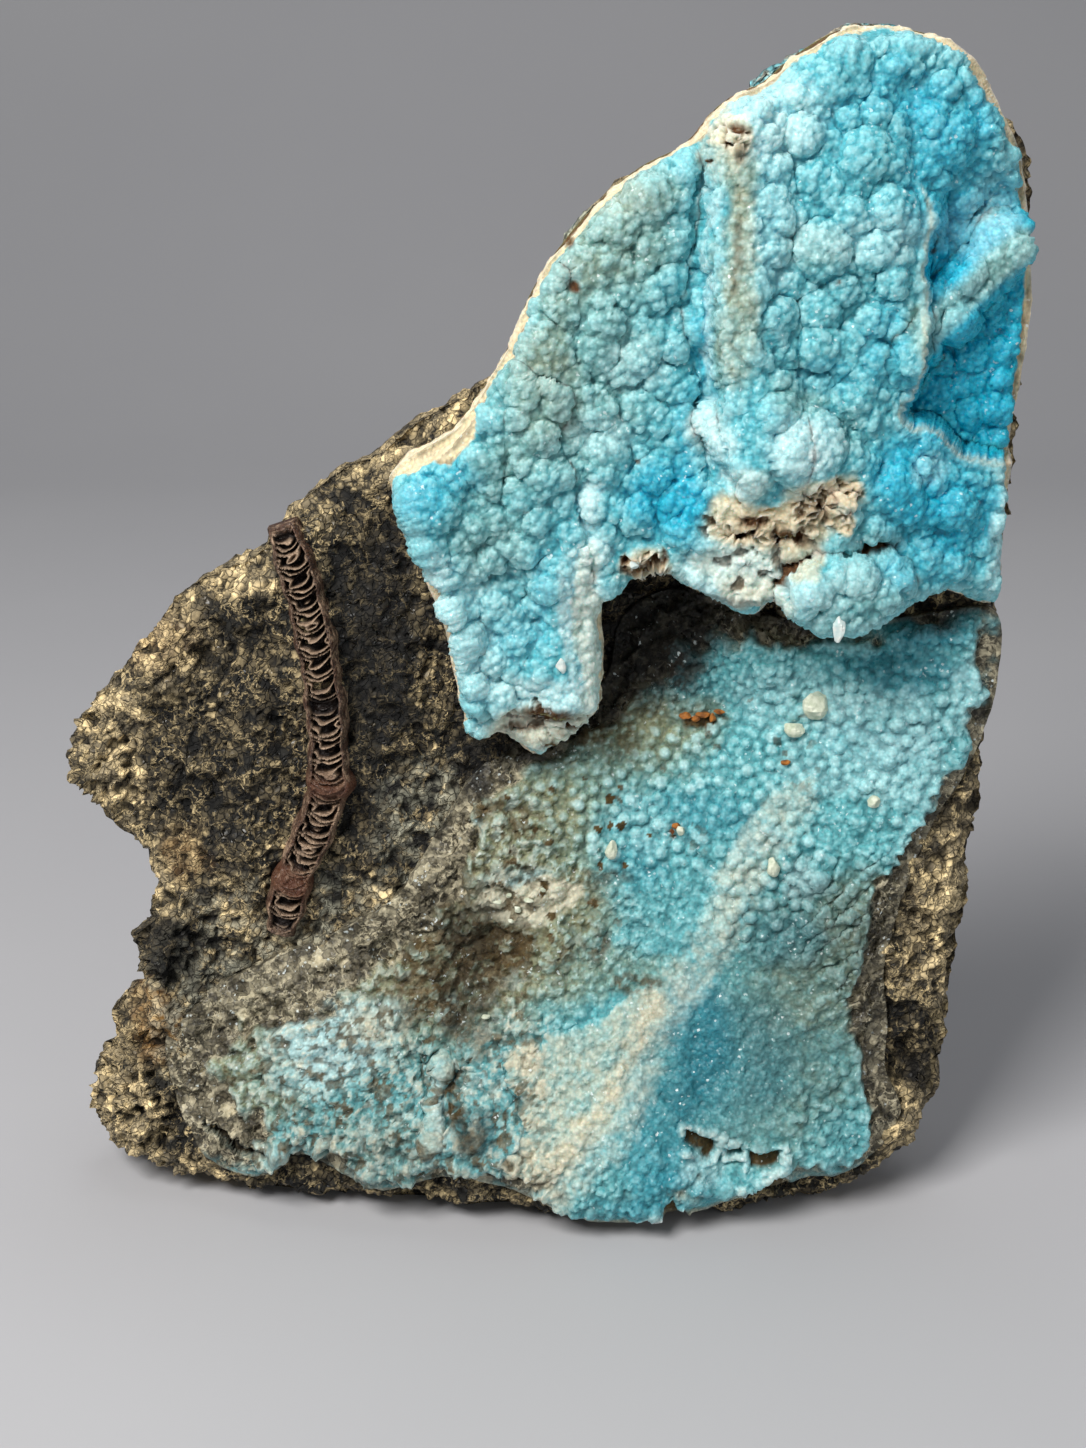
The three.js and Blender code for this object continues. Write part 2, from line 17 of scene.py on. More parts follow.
import bpy
import numpy as np
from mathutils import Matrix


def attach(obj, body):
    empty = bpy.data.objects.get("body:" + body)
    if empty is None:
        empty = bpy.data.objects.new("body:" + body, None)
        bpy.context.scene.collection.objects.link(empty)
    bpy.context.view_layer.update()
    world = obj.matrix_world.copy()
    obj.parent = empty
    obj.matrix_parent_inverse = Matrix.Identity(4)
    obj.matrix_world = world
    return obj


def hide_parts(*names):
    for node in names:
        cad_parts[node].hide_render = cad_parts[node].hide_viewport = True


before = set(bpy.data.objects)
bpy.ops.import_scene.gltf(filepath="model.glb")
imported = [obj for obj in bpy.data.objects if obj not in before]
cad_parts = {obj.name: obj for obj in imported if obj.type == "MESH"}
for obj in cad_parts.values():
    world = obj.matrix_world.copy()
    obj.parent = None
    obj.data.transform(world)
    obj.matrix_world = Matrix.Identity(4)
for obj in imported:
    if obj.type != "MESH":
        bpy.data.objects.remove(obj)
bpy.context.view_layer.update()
MM = 0.001  # the shapes are worked out in millimetres and written to the meshes in metres

# %% [markdown]
# ## Camera
# The specimen stands upright and is seen from a little above, at arm's length. A lens of 55 mm on
# a full-frame sensor gives the same gentle perspective. The camera is placed by plain numbers, so
# that it never has to look for its subject.

# %% Camera
CAMERA_PLACE = (0, -0.370, 0.215)
CAMERA_PITCH = 70.6  # degrees from looking straight down
FOCAL_LENGTH, SENSOR_WIDTH = 55, 36  # millimetres

lens = bpy.data.cameras.new("camera")
lens.lens, lens.sensor_width = FOCAL_LENGTH, SENSOR_WIDTH
lens.clip_start, lens.clip_end = 0.02, 20
camera = bpy.data.objects.new("camera", lens)
camera.location = CAMERA_PLACE
camera.rotation_euler = (np.radians(CAMERA_PITCH), 0, 0)
bpy.context.scene.collection.objects.link(camera)
bpy.context.scene.camera = camera
bpy.context.scene.view_settings.view_transform = "Standard"

# %% [markdown]
# ## Floor and light
# A pale sweep of paper carries the specimen and curves up behind it, so there is no horizon. The
# key light comes from the upper left and is small enough to leave shadows under the hanging
# plate. A large dim light from the front right opens those shadows a little.

# %% Floor
def paper_sweep(half_width, front, back, radius, height):
    """A profile carried along X: flat floor, a quarter circle of the given radius, then a wall."""
    turn = np.linspace(0, np.pi / 2, 24)
    y = np.r_[front, back + radius * np.sin(turn), back + radius]
    z = np.r_[0, radius * (1 - np.cos(turn)), height]
    rows = np.stack([np.r_[np.full(len(y), -half_width), np.full(len(y), half_width)],
                     np.tile(y, 2), np.tile(z, 2)], axis=1)
    k = np.arange(len(y) - 1)
    return rows, np.stack([k, k + len(y), k + len(y) + 1, k + 1], axis=1)


rows, quads = paper_sweep(half_width=2.5, front=-2, back=0.55, radius=0.5, height=2.2)
mesh = bpy.data.meshes.new("paper_sweep")
mesh.from_pydata(rows.tolist(), [], quads.tolist())
mesh.shade_smooth()
floor = bpy.data.objects.new("paper_sweep", mesh)
bpy.context.scene.collection.objects.link(floor)

# %% Lights
def soft_light(name, place, aim, size, power, color=(1, 1, 1)):
    """A square area light at a place, turned so that it faces the aim."""
    data = bpy.data.lights.new(name, "AREA")
    data.size, data.energy, data.color = size, power, color
    lamp = bpy.data.objects.new(name, data)
    lamp.location = place
    direction = np.subtract(aim, place)
    lamp.rotation_euler = (np.arctan2(np.hypot(*direction[:2]), -direction[2]), 0,
                           np.arctan2(direction[1], direction[0]) - np.pi / 2)
    bpy.context.scene.collection.objects.link(lamp)


MIDDLE = (0, 0, 0.1)
soft_light("key", (-0.36, -0.5, 0.74), MIDDLE, size=0.42, power=10.5, color=(1, 0.98, 0.95))
soft_light("fill", (0.75, -0.8, 0.45), MIDDLE, size=0.9, power=2.2, color=(0.95, 0.98, 1))
soft_light("top", (0.1, 0.25, 0.95), MIDDLE, size=0.5, power=1.8)

world = bpy.data.worlds.new("studio")
world.use_nodes = True
background = world.node_tree.nodes["Background"].inputs
background["Color"].default_value = (0.8, 0.85, 0.9, 1)
background["Strength"].default_value = 0.13
bpy.context.scene.world = world

# %% [markdown]
# ## Lines and distances
# Broken stone has no straight edges, so every outline is a short list of places joined by a
# smooth Catmull-Rom curve. Most forms then depend on how far a point lies from such a line: a rim
# rolls off near its outline, a ridge rises near its crest, a hollow is deep inside its border.

# %% Smooth steps and lengths
def ease(t):
    """Smoothstep: 0 below 0, 1 above 1, and 3t^2 - 2t^3 between."""
    t = np.clip(t, 0, 1)
    return t * t * (3 - 2 * t)


def around(value, width, top=1):
    """Up to 1 where a value is near 0, eased down to 0 over the width: top - |value| / width."""
    return ease(top - np.abs(value) / width)


def places(x, y, z):
    """Three arrays of coordinates as one list of places."""
    return np.stack([x.ravel(), y.ravel(), z.ravel()], axis=1)


def unit(vectors):
    """Vectors brought to length 1."""
    return vectors / np.maximum(np.linalg.norm(vectors, axis=1), 1e-9)[:, None]

# %% Smooth lines
DRAWN_BETWEEN = 24  # points of a curve from one of its places to the next


def smooth_line(points, closed, count):
    """A Catmull-Rom curve with knots at the square root of the distance, cut into even steps."""
    p = np.asarray(points, float)
    ends = (p[-1:], p[:2]) if closed else (2 * p[:1] - p[1:2], 2 * p[-1:] - p[-2:-1])
    p = np.vstack([ends[0], p, ends[1]])
    knots = np.sqrt(np.linalg.norm(np.diff(p, axis=0), axis=1))[:, None]
    slopes = np.diff(p, axis=0) / knots
    chord = (p[2:] - p[:-2]) / (knots[:-1] + knots[1:])
    tangent = slopes[:-1] - chord + slopes[1:]
    a, b, k = p[1:-2], p[2:-1], knots[1:-1]
    t = np.linspace(0, 1, DRAWN_BETWEEN, endpoint=False)[:, None, None]
    curve = ((2 * t**3 - 3 * t**2 + 1) * a + (t**3 - 2 * t**2 + t) * tangent[:-1] * k
             + (3 * t**2 - 2 * t**3) * b + (t**3 - t**2) * tangent[1:] * k)
    curve = np.vstack([curve.transpose(1, 0, 2).reshape(-1, 2), p[-2]])
    run = np.r_[0, np.cumsum(np.linalg.norm(np.diff(curve, axis=0), axis=1))]
    even = np.linspace(0, run[-1], count + 1)[:count if closed else None]
    line = np.stack([np.interp(even, run, curve[:, n]) for n in (0, 1)], axis=1)
    area = np.sum(line[:, 0] * np.roll(line[:, 1], -1) - line[:, 1] * np.roll(line[:, 0], -1))
    return line[::-1] if closed and area < 0 else line

# %% Nearest place on a line
Near = namedtuple("Near", "distance x z along side inside")
AT_A_TIME = 4000  # points that are measured together, so that the arrays stay small


def nearest_on_line(line, x, z, closed=True):
    """Each point is dropped onto every segment; the shortest drop wins. Gives its length, its
    foot, the length along the line, the signed side, and whether a closed line holds the point."""
    start = np.asarray(line, float)
    end = np.roll(start, -1, axis=0)
    if not closed:
        start, end = start[:-1], end[:-1]
    step = end - start
    square = (step**2).sum(1)
    travelled = np.r_[0, np.cumsum(np.sqrt(square))[:-1]]
    point = np.stack([np.ravel(x), np.ravel(z)], axis=1)
    parts = []
    for block in np.array_split(point, len(point) // AT_A_TIME + 1):
        off = block[:, None] - start
        t = np.clip((off * step).sum(2) / square, 0, 1)
        drop = off - t[..., None] * step
        k = (drop**2).sum(2).argmin(1)
        n = np.arange(len(block))
        above = (start[:, 1] > block[:, 1:]) != (end[:, 1] > block[:, 1:])
        reach = start[:, 0] + off[..., 1] * step[:, 0] / np.where(step[:, 1] == 0, 1, step[:, 1])
        inside = (above & (block[:, :1] < reach)).sum(1) % 2 == 1
        side = step[k, 0] * off[n, k, 1] - step[k, 1] * off[n, k, 0]
        parts.append([np.linalg.norm(drop[n, k], axis=1), *(block - drop[n, k]).T,
                      travelled[k] + t[n, k] * np.sqrt(square[k]), np.sign(side), inside])
    return Near(*(np.concatenate(column).reshape(np.shape(x)) for column in zip(*parts)))


def depth_inside(line, x, z):
    """The distance to a closed line, negative outside it."""
    near = nearest_on_line(line, x, z)
    return np.where(near.inside, near.distance, -near.distance)


def distance_to(line, x, z):
    """The distance to an open line."""
    return nearest_on_line(line, x, z, closed=False).distance


def off_line(line, x, z):
    """The signed distance from an open line: above 0 to the left of its direction."""
    near = nearest_on_line(line, x, z, closed=False)
    return near.distance * np.where(near.side < 0, -1, 1)

# %% [markdown]
# ## Rules of chance
# Bubbles, grains and chips repeat without repeating exactly. They come from a hash: a formula
# that turns whole numbers into a number that looks random, but is the same on every run. Space is
# cut into cubes, each cube gets its own numbers, and a point asks the cubes around it.

# %% Hash and fractal noise
def hashed(cell, seed):
    """Scrambles the three whole numbers of a cube, and a seed, into a number from 0 to 1."""
    n = (cell[:, 0] * 73856093) ^ (cell[:, 1] * 19349663) ^ (cell[:, 2] * 83492791)
    n = (n ^ (seed * 668265263)) & 0xFFFFFFFF
    n = ((n ^ (n >> 15)) * 0x2C1B3C6D) & 0xFFFFFFFF
    n = ((n ^ (n >> 12)) * 0x297A2D39) & 0xFFFFFFFF
    return (n ^ (n >> 15)) / 2**32


def noise(p, size, seed, octaves=3):
    """Random corners of cubes, blended smoothly between them; each octave is half as large."""
    total = np.zeros(len(p))
    for octave in range(octaves):
        q = p * (2**octave / size)
        cell = np.floor(q).astype(np.int64)
        f = ease(q - cell)
        for corner in product((0, 1), repeat=3):
            weight = np.prod(np.where(corner, f, 1 - f), axis=1)
            total += 0.5**octave * weight * (2 * hashed(cell + corner, seed + octave) - 1)
    return total

# %% Balls
TURN = np.array([[0.80, 0.36, -0.48], [-0.60, 0.48, -0.64], [0.0, 0.80, 0.60]])


def cubes_around(p, pitch, seed):
    """The 27 cubes around each point, one by one, and in each a random place, as shares of its
    three sides."""
    home = np.floor(p / pitch).astype(np.int64)
    for step in product((-1, 0, 1), repeat=3):
        cell = home + step
        yield cell, np.stack([hashed(cell, seed + n) for n in range(3)], axis=1)


def balls(p, normal, pitch, radius, seed, vary=0.85):
    """The height of a layer of balls over a surface, along its normal. Each cube holds a ball; a
    point sees it at 0.35 b + sqrt(r^2 - a^2), where b is the height of the ball's middle and a
    its distance across. The radius r is 1.4 x radius at the most, and less by vary x radius at
    the least. The cubes are turned askew, so that no rows show. Also gives how large the ball on
    top is, from 0 to 1."""
    p, normal = p @ TURN, normal @ TURN
    best, owner = np.zeros(len(p)), np.zeros(len(p))
    for cell, jitter in cubes_around(p, pitch, seed):
        size = hashed(cell, seed + 3)
        way = (cell + 0.1 + 0.8 * jitter) * pitch - p
        b = (way * normal).sum(1)
        r = radius * (1.4 - vary * (1 - size**2))
        chord = r**2 - (way**2).sum(1) + b**2
        height = (0.35 * b + np.sqrt(np.maximum(chord, 0))) * ease((0.75 - np.abs(b) / pitch) / 0.2)
        top = (chord > 0) & (height > best)
        best, owner = np.where(top, height, best), np.where(top, size, owner)
    return best, owner

# %% Chips, honeycomb and lumps
def chips(p, pitch, seed):
    """Broken grains: the nearest jittered point of the cubes gives each its height and tilt, and
    a random tone."""
    best, height, tone = np.full(len(p), np.inf), np.zeros(len(p)), np.zeros(len(p))
    for cell, jitter in cubes_around(p, pitch, seed):
        way = p - (cell + jitter) * pitch
        distance = (way**2).sum(1)
        tilt = (way * (2 * jitter[:, ::-1] - 1)).sum(1) / pitch
        near = distance < best
        best = np.where(near, distance, best)
        height = np.where(near, hashed(cell, seed + 3) + 0.8 * tilt, height)
        tone = np.where(near, hashed(cell, seed + 4), tone)
    return height, tone


def honeycomb(p, pitch, seed):
    """Thin walls between random cells: the distances to the two nearest points are almost equal
    on a wall. Gives 1 on a wall and 0 in a cell."""
    first, second = np.full(len(p), np.inf), np.full(len(p), np.inf)
    for cell, jitter in cubes_around(p, pitch, seed):
        distance = np.linalg.norm(p - (cell + jitter) * pitch, axis=1)
        second = np.minimum(second, np.maximum(first, distance))
        first = np.minimum(first, distance)
    return 1 - ease(((second - first) / pitch - 0.1) / 0.16)


def chance(i, j):
    """A repeatable number from 0 to 1 for two whole numbers: the broken part of a large sine."""
    wave = np.sin(i * 127.1 + j * 311.7) * 43758.5453
    return wave - np.floor(wave)


def botryoids(x, z, pitch):
    """Round lumps on a jittered square grid: the most of 1 - (distance / 0.8 pitch)^2."""
    ci, cj = np.floor(x / pitch), np.floor(z / pitch)
    crown = np.zeros_like(x)
    for di, dj in product((-1, 0, 1), repeat=2):
        i, j = ci + di, cj + dj
        px, pz = (i + 0.2 + 0.6 * chance(i, j)) * pitch, (j + 0.2 + 0.6 * chance(j + 57, i)) * pitch
        crown = np.maximum(crown, 1 - ((x - px)**2 + (z - pz)**2) / (0.8 * pitch)**2)
    return crown

# %% Listed heights and patches
def blend(heights, width, x, z):
    """The mean of listed heights [x, z, y], each weighted by a bell curve around its place. A
    trace of weight reaches everywhere, so that far places have a height too."""
    total, weights = np.zeros_like(x), np.zeros_like(x)
    for px, pz, y in heights:
        square = (x - px)**2 + (z - pz)**2
        weight = np.exp(-square / (2 * width**2)) + 1e-6 / (1 + square)
        total, weights = total + weight * y, weights + weight
    return total / weights


def patches(spots, p, wobble=1.5, soft=0.9, seed=7):
    """Soft oval spots [x, z, half width, half height, strength]; their borders wander by wobble.
    Where spots overlap, what each leaves uncovered is multiplied."""
    x = p[:, 0] + wobble * noise(p, 5, seed)
    z = p[:, 2] + wobble * noise(p, 5, seed + 9)
    bare = np.ones(len(p))
    for cx, cz, rx, rz, strength in spots:
        near = np.hypot((x - cx) / rx, (z - cz) / rz)
        bare *= 1 - strength * ease((1 + 0.5 * soft - near) / soft)
    return 1 - bare


def mounds(spots, x, z):
    """Smooth swellings [x, z, radius, rise]: rise x (1 - d^2)^2, with d in 1.4 radii."""
    total = np.zeros_like(x)
    for cx, cz, radius, rise in spots:
        near = np.minimum(((x - cx)**2 + (z - cz)**2) / (1.4 * radius)**2, 1)
        total += rise * (1 - near)**2
    return total

# %% [markdown]
# ## Tiling an outline
# Each piece is a slab with a fine front. A square net is laid over its outline, the net's corners
# near the outline are moved onto it, and the squares that cross it are cut. A coarser net closes
# the back, and a wall joins the two rims. A remesher would do it too, but it would round off the
# sharp rims and cost many more triangles where nothing shows.

# %% Cut a square net to an outline
SNAP = 0.38  # corners nearer to the outline than this share of a cell are moved onto it


def tile(line, cell):
    """A square net inside a closed line. Gives x, z, depth from the line, length along it for the
    corners on it, the triangles, and the rim's corners in order."""
    low = np.floor(line.min(0) / cell).astype(int) - 1
    high = np.ceil(line.max(0) / cell).astype(int) + 2
    i, j = np.meshgrid(np.arange(low[0], high[0]), np.arange(low[1], high[1]), indexing="ij")
    x, z = i.ravel() * cell, j.ravel() * cell
    distance, foot_x, foot_z, along, _, inside = nearest_on_line(line, x, z)
    snapped = distance < SNAP * cell
    depth = np.where(snapped, 0, np.where(inside > 0, distance, -distance))
    x, z = np.where(snapped, foot_x, x), np.where(snapped, foot_z, z)
    along = np.where(snapped, along, np.nan)
    corner = np.arange(i.size).reshape(i.shape)
    ring = np.stack([corner[:-1, :-1], corner[1:, :-1], corner[1:, 1:], corner[:-1, 1:]], -1)
    ring = ring.reshape(-1, 4)
    ring = ring[(depth[ring] > 0).any(1)]
    following = np.roll(ring, -1, axis=1)
    crossed = depth[ring] * depth[following] < 0
    pairs = np.stack([np.minimum(ring, following), np.maximum(ring, following)], -1)
    cut, where = np.unique(pairs[crossed], axis=0, return_inverse=True)
    part = depth[cut[:, 0]] / (depth[cut[:, 0]] - depth[cut[:, 1]])
    new_x = x[cut[:, 0]] + part * (x[cut[:, 1]] - x[cut[:, 0]])
    new_z = z[cut[:, 0]] + part * (z[cut[:, 1]] - z[cut[:, 0]])
    near = nearest_on_line(line, new_x, new_z)
    slots = np.full((len(ring), 8), -1)
    slots[:, 0::2] = np.where(depth[ring] >= 0, ring, -1)
    odd = np.full(ring.shape, -1)
    odd[crossed] = i.size + where.ravel()
    slots[:, 1::2] = odd
    x, z = np.r_[x, near.x], np.r_[z, near.z]
    along, depth = np.r_[along, near.along], np.r_[depth, np.zeros(len(cut))]
    return keep_used(x, z, depth, along, fan(slots, along))


def fan(slots, along):
    """Each cut square, a row of up to 8 corners, is split from a corner that is off the rim."""
    order = np.argsort(slots < 0, axis=1, kind="stable")
    polygon = np.take_along_axis(slots, order, 1)
    count = (polygon >= 0).sum(1)
    free = np.isnan(along[polygon]) & (polygon >= 0)
    polygon, count, free = polygon[free.any(1)], count[free.any(1)], free[free.any(1)]
    turn = (free.argmax(1)[:, None] + np.arange(8)) % count[:, None]
    polygon = np.take_along_axis(polygon, turn, 1)
    return np.vstack([polygon[count > k + 1][:, [0, k, k + 1]] for k in range(1, 6)])


def keep_used(x, z, depth, along, triangles):
    """Drops the corners that no triangle uses, and finds the rim: the edges that have no twin."""
    used, triangles = np.unique(triangles, return_inverse=True)
    triangles = triangles.reshape(-1, 3)
    n = len(used)
    edges = np.vstack([triangles[:, [0, 1]], triangles[:, [1, 2]], triangles[:, [2, 0]]])
    lone = ~np.isin(edges[:, 0] * n + edges[:, 1], edges[:, 1] * n + edges[:, 0])
    rim = edges[lone, 0]
    rim = rim[np.argsort(along[used][rim])]
    return {"x": x[used], "z": z[used], "depth": depth[used], "along": along[used],
            "triangles": triangles, "rim": rim}


def sheet(line, cell, height):
    """A net inside an outline, and its points, with y as a function of x and z gives it."""
    net = tile(line, cell)
    return net, places(net["x"], height(net["x"], net["z"]), net["z"])

# %% Normals and means of neighbours
def vertex_normals(points, triangles):
    """The cross products of the triangles, summed at their corners and brought to length 1."""
    a, b, c = (points[triangles[:, n]] for n in range(3))
    face = np.cross(b - a, c - a)
    normal = np.zeros_like(points)
    for axis, corner in product(range(3), repeat=2):
        normal[:, axis] += np.bincount(triangles[:, corner], face[:, axis], len(points))
    return unit(normal)


def relax(vectors, triangles, times):
    """Each point's vector moves to the mean of its neighbours' vectors, a number of times."""
    a = np.concatenate([triangles[:, n] for n in (0, 1, 2, 1, 2, 0)])
    b = np.concatenate([triangles[:, n] for n in (1, 2, 0, 0, 1, 2)])
    count = np.maximum(np.bincount(a, minlength=len(vectors)), 1)
    columns = list(vectors.T)
    for n in range(3):
        for _ in range(times):
            columns[n] = np.bincount(a, columns[n][b], len(vectors)) / count
    return np.stack(columns, axis=1)


def soft_normals(points, triangles, times):
    """Normals that are relaxed with their neighbours, so that they ignore small bumps."""
    return unit(relax(vertex_normals(points, triangles), triangles, times))


def crease_mask(points, triangles, times, scale):
    """How far a point lies behind the mean of its neighbourhood: 0 on crowns, 1 in creases."""
    behind = (relax(points, triangles, times) - points) * vertex_normals(points, triangles)
    return np.clip(0.5 + behind.sum(1) / scale, 0, 1)

# %% Close a slab
def zip_rims(ahead, behind, near, far):
    """Joins two loops of corners by their lengths along one outline, near and far: each step on
    a loop makes a triangle with the other loop's latest corner."""
    next_near, next_far = np.r_[near[1:], np.inf], np.r_[far[1:], np.inf]
    b = np.maximum(np.searchsorted(far, next_near, "left") - 1, 0)
    a = np.maximum(np.searchsorted(near, next_far, "right") - 1, 0)
    a[-1] = 0
    return np.vstack([np.stack([np.roll(ahead, -1), ahead, behind[b]], 1),
                      np.stack([behind, np.roll(behind, -1), ahead[a]], 1)])


def close_slab(fore, front, aft, back, wall_rows, roughness):
    """Front and back sheets, given as points, joined by a wall. The wall's rows run from the front
    rim towards the back, and bulge along the outline's outward normal by noise x roughness.
    Gives all points, all triangles, and each point's layer: 0 on the front, 1 on the back."""
    rim = front[fore["rim"]]
    near, far = fore["along"][fore["rim"]], aft["along"][aft["rim"]]
    target = np.array([np.interp(near, far, back[aft["rim"], n]) for n in range(3)]).T
    ahead = np.roll(rim, -3, axis=0) - np.roll(rim, 3, axis=0)
    outward = unit(places(ahead[:, 2], 0 * ahead[:, 0], -ahead[:, 0]))
    points, loops, layers, count = [front], [fore["rim"]], [np.zeros(len(front))], len(front)
    for row in range(1, wall_rows + 1):
        t = row / (wall_rows + 1)
        line = rim + t * (target - rim)
        bulge = roughness * np.sin(np.pi * t)**0.5 * noise(line, 2.2, 3, 4)
        points.append(line + outward * bulge[:, None])
        loops.append(count + np.arange(len(rim)))
        layers.append(np.full(len(rim), t))
        count += len(rim)
    faces = [fore["triangles"]]
    for a, b in zip(loops, loops[1:]):
        c, d = np.roll(a, -1), np.roll(b, -1)
        faces += [np.stack([c, a, b], 1), np.stack([c, b, d], 1)]
    faces.append(zip_rims(loops[-1], count + aft["rim"], near, far))
    faces.append(count + aft["triangles"][:, ::-1])
    return (np.vstack(points + [back]), np.vstack(faces),
            np.concatenate(layers + [np.ones(len(back))]))

# %% Write a mesh
def new_piece(name, points, faces, smooth=True, **masks):
    """A mesh object in metres at the origin; each mask is written as one number per point."""
    data = bpy.data.meshes.new(name)
    data.from_pydata((points * MM).tolist(), [], faces.tolist())
    data.polygons.foreach_set("use_smooth", np.full(len(faces), smooth))
    for label, values in masks.items():
        data.attributes.new(label, "FLOAT", "POINT").data.foreach_set("value", values)
    piece = bpy.data.objects.new(name, data)
    bpy.context.scene.collection.objects.link(piece)
    edges = np.sort(np.vstack([faces[:, [k, (k + 1) % 3]] for k in range(3)]), axis=1)
    uses = np.unique(edges, axis=0, return_counts=True)[1]
    print(f"{name}: {len(faces)} triangles, {(uses != 2).sum()} open edges, size (mm)",
          np.round(np.ptp(points, axis=0), 1))
    return piece

# %% [markdown]
# ## The rock
# The matrix is gossan, a brown-black iron-rich rock that broke with a field of shallow scallops
# and a crumbly surface of chips and grains. Its outline and its main relief repeat the solid's
# numbers. On top of them lie broken chips of three sizes, pushed out along the surface's normal,
# and small pits. Under the blue crusts the grains fade, so that they don't poke through.
#
# All shapes from here on are given as short lists. An outline is a list of places [x, z],
# in millimetres. A face is a list of heights [x, z, y]. A soft spot is [x, z, half width, half
# height, strength].

# %% The rock's outline and main relief
ROCK_EDGE = [
    [-60, 0], [-71, 1.5], [-78, 4], [-82, 9], [-83, 15], [-81.5, 20], [-79, 25], [-78.5, 30.5],
    [-76, 35], [-72, 37], [-74, 42.5], [-71.5, 49], [-69.5, 54], [-73.5, 61], [-78, 65],
    [-82, 69.5], [-86, 73], [-86, 77], [-82, 84.5], [-75.5, 93], [-70.5, 99.5], [-62, 109],
    [-49, 115.5], [-46.5, 119.5], [-40.5, 125.5], [-34, 130.5], [-28, 133], [-21, 138.5],
    [-13, 143.5], [-7, 149], [-2, 158.5], [5, 171], [9.5, 176], [16, 181], [24, 184.5], [29, 190],
    [40, 198], [49.5, 202.5], [58.5, 202], [64, 200.5], [72, 192], [79, 183], [80.5, 172],
    [80.5, 153.5], [79, 125], [78.5, 92.5], [76, 64], [73, 34.5], [71, 18.5], [65, 8], [54, 0],
]
ROCK_FACE = [
    [-83, 77, 1], [-76, 70, -2], [-72, 88, -2], [-60, 85, -6], [-60, 102, -4], [-48, 112, -3],
    [-45, 98, -7], [-45, 75, -9], [-30, 85, -9], [-30, 105, -7], [-32, 122, -5], [-22, 135, -3],
    [-62, 62, -8], [-60, 48, -9], [-66, 47, -11], [-75, 30, -10], [-78, 15, -12], [-70, 8, -17],
    [-60, 4, -21], [-48, 4, -24], [-30, 4, -27], [-8, 6, -29.5], [12, 4, -32], [35, 5, -29.5],
    [52, 6, -24], [62, 12, -19.5], [-5, 150, -10], [10, 172, -9], [20, 160, -9], [32, 180, -9],
    [45, 195, -6], [60, 194, -4], [45, 170, -10], [70, 160, -4.5], [66, 142, -5], [40, 140, -12],
    [60, 120, -8], [72, 122, -7], [20, 130, -9], [0, 125, -8], [-14, 122, -8], [-10, 100, -5],
    [-5, 90, -5], [12, 100, 4], [20, 108, 4], [28, 104, 4], [20, 96, 2], [38, 106, -1],
    [-8, 76, -5.5], [12, 84, -1], [24, 92, 2], [38, 98, -0.5], [50, 97, -3], [66, 100, -6],
    [73, 88, -8], [45, 85, -5.5], [20, 78, -4.5], [0, 70, -7.5], [-18, 66, -8.5], [-10, 58, -10],
    [15, 62, -9], [35, 68, -9], [55, 75, -10.5], [68, 72, -12], [66, 52, -15], [45, 52, -13.5],
    [25, 50, -13.5], [0, 46, -13], [-25, 48, -11.5], [-48, 42, -11], [-62, 33, -12], [-63, 20, -15],
    [-45, 28, -15], [-25, 30, -15.5], [0, 30, -19], [25, 30, -19], [50, 34, -16.5], [64, 30, -17],
    [60, 14, -19], [40, 16, -24], [15, 12, -29], [-8, 14, -26.5], [-30, 12, -23.5], [-48, 12, -21],
]
ROCK_LUMPS = [
    [-66, 47, 7, 4], [-73, 18, 7, 3], [-80, 76, 6, 3], [-57, 116, 5, -2], [-42, 84, 9, -2],
    [-66, 78, 8, 2], [66, 27, 5, -4], [67, 60, 6, 2], [-52, 62, 7, 2], [-70, 33, 6, 2.5],
]
THICK_AT_FOOT, THICK_AT_CREST, TALL = 52, 20, 203
rock_sides = smooth_line(ROCK_EDGE, closed=False, count=240)

# %% The rock's front and back
def rock_face(x, z):
    """The smooth face that the rock and both crusts are measured from."""
    return blend(ROCK_FACE, 9, x, z)


def rock_front(x, z):
    """The face, rolled back at the edge, drawn in at the foot, with mounds and scallops."""
    roll = 6 * (1 - ease(distance_to(rock_sides, x, z) / 6))**2 + 8 * (1 - ease(z / 5))
    scallops = 2.6 * (botryoids(x, z, 13) - 0.6)
    return rock_face(x, z) + roll - mounds(ROCK_LUMPS, x, z) + scallops


def rock_back(x, z):
    """From a blunt edge, 10 mm behind the face, to the full thickness by 1 - exp(-distance/16)."""
    full = (THICK_AT_FOOT + (THICK_AT_CREST - THICK_AT_FOOT) * z / TALL) / 2
    full += 4.5 * (1 - botryoids(x + 40, z, 24))
    edge = rock_face(x, z) + 10
    return edge + (full - edge) * (1 - np.exp(-distance_to(rock_sides, x, z) / 16))

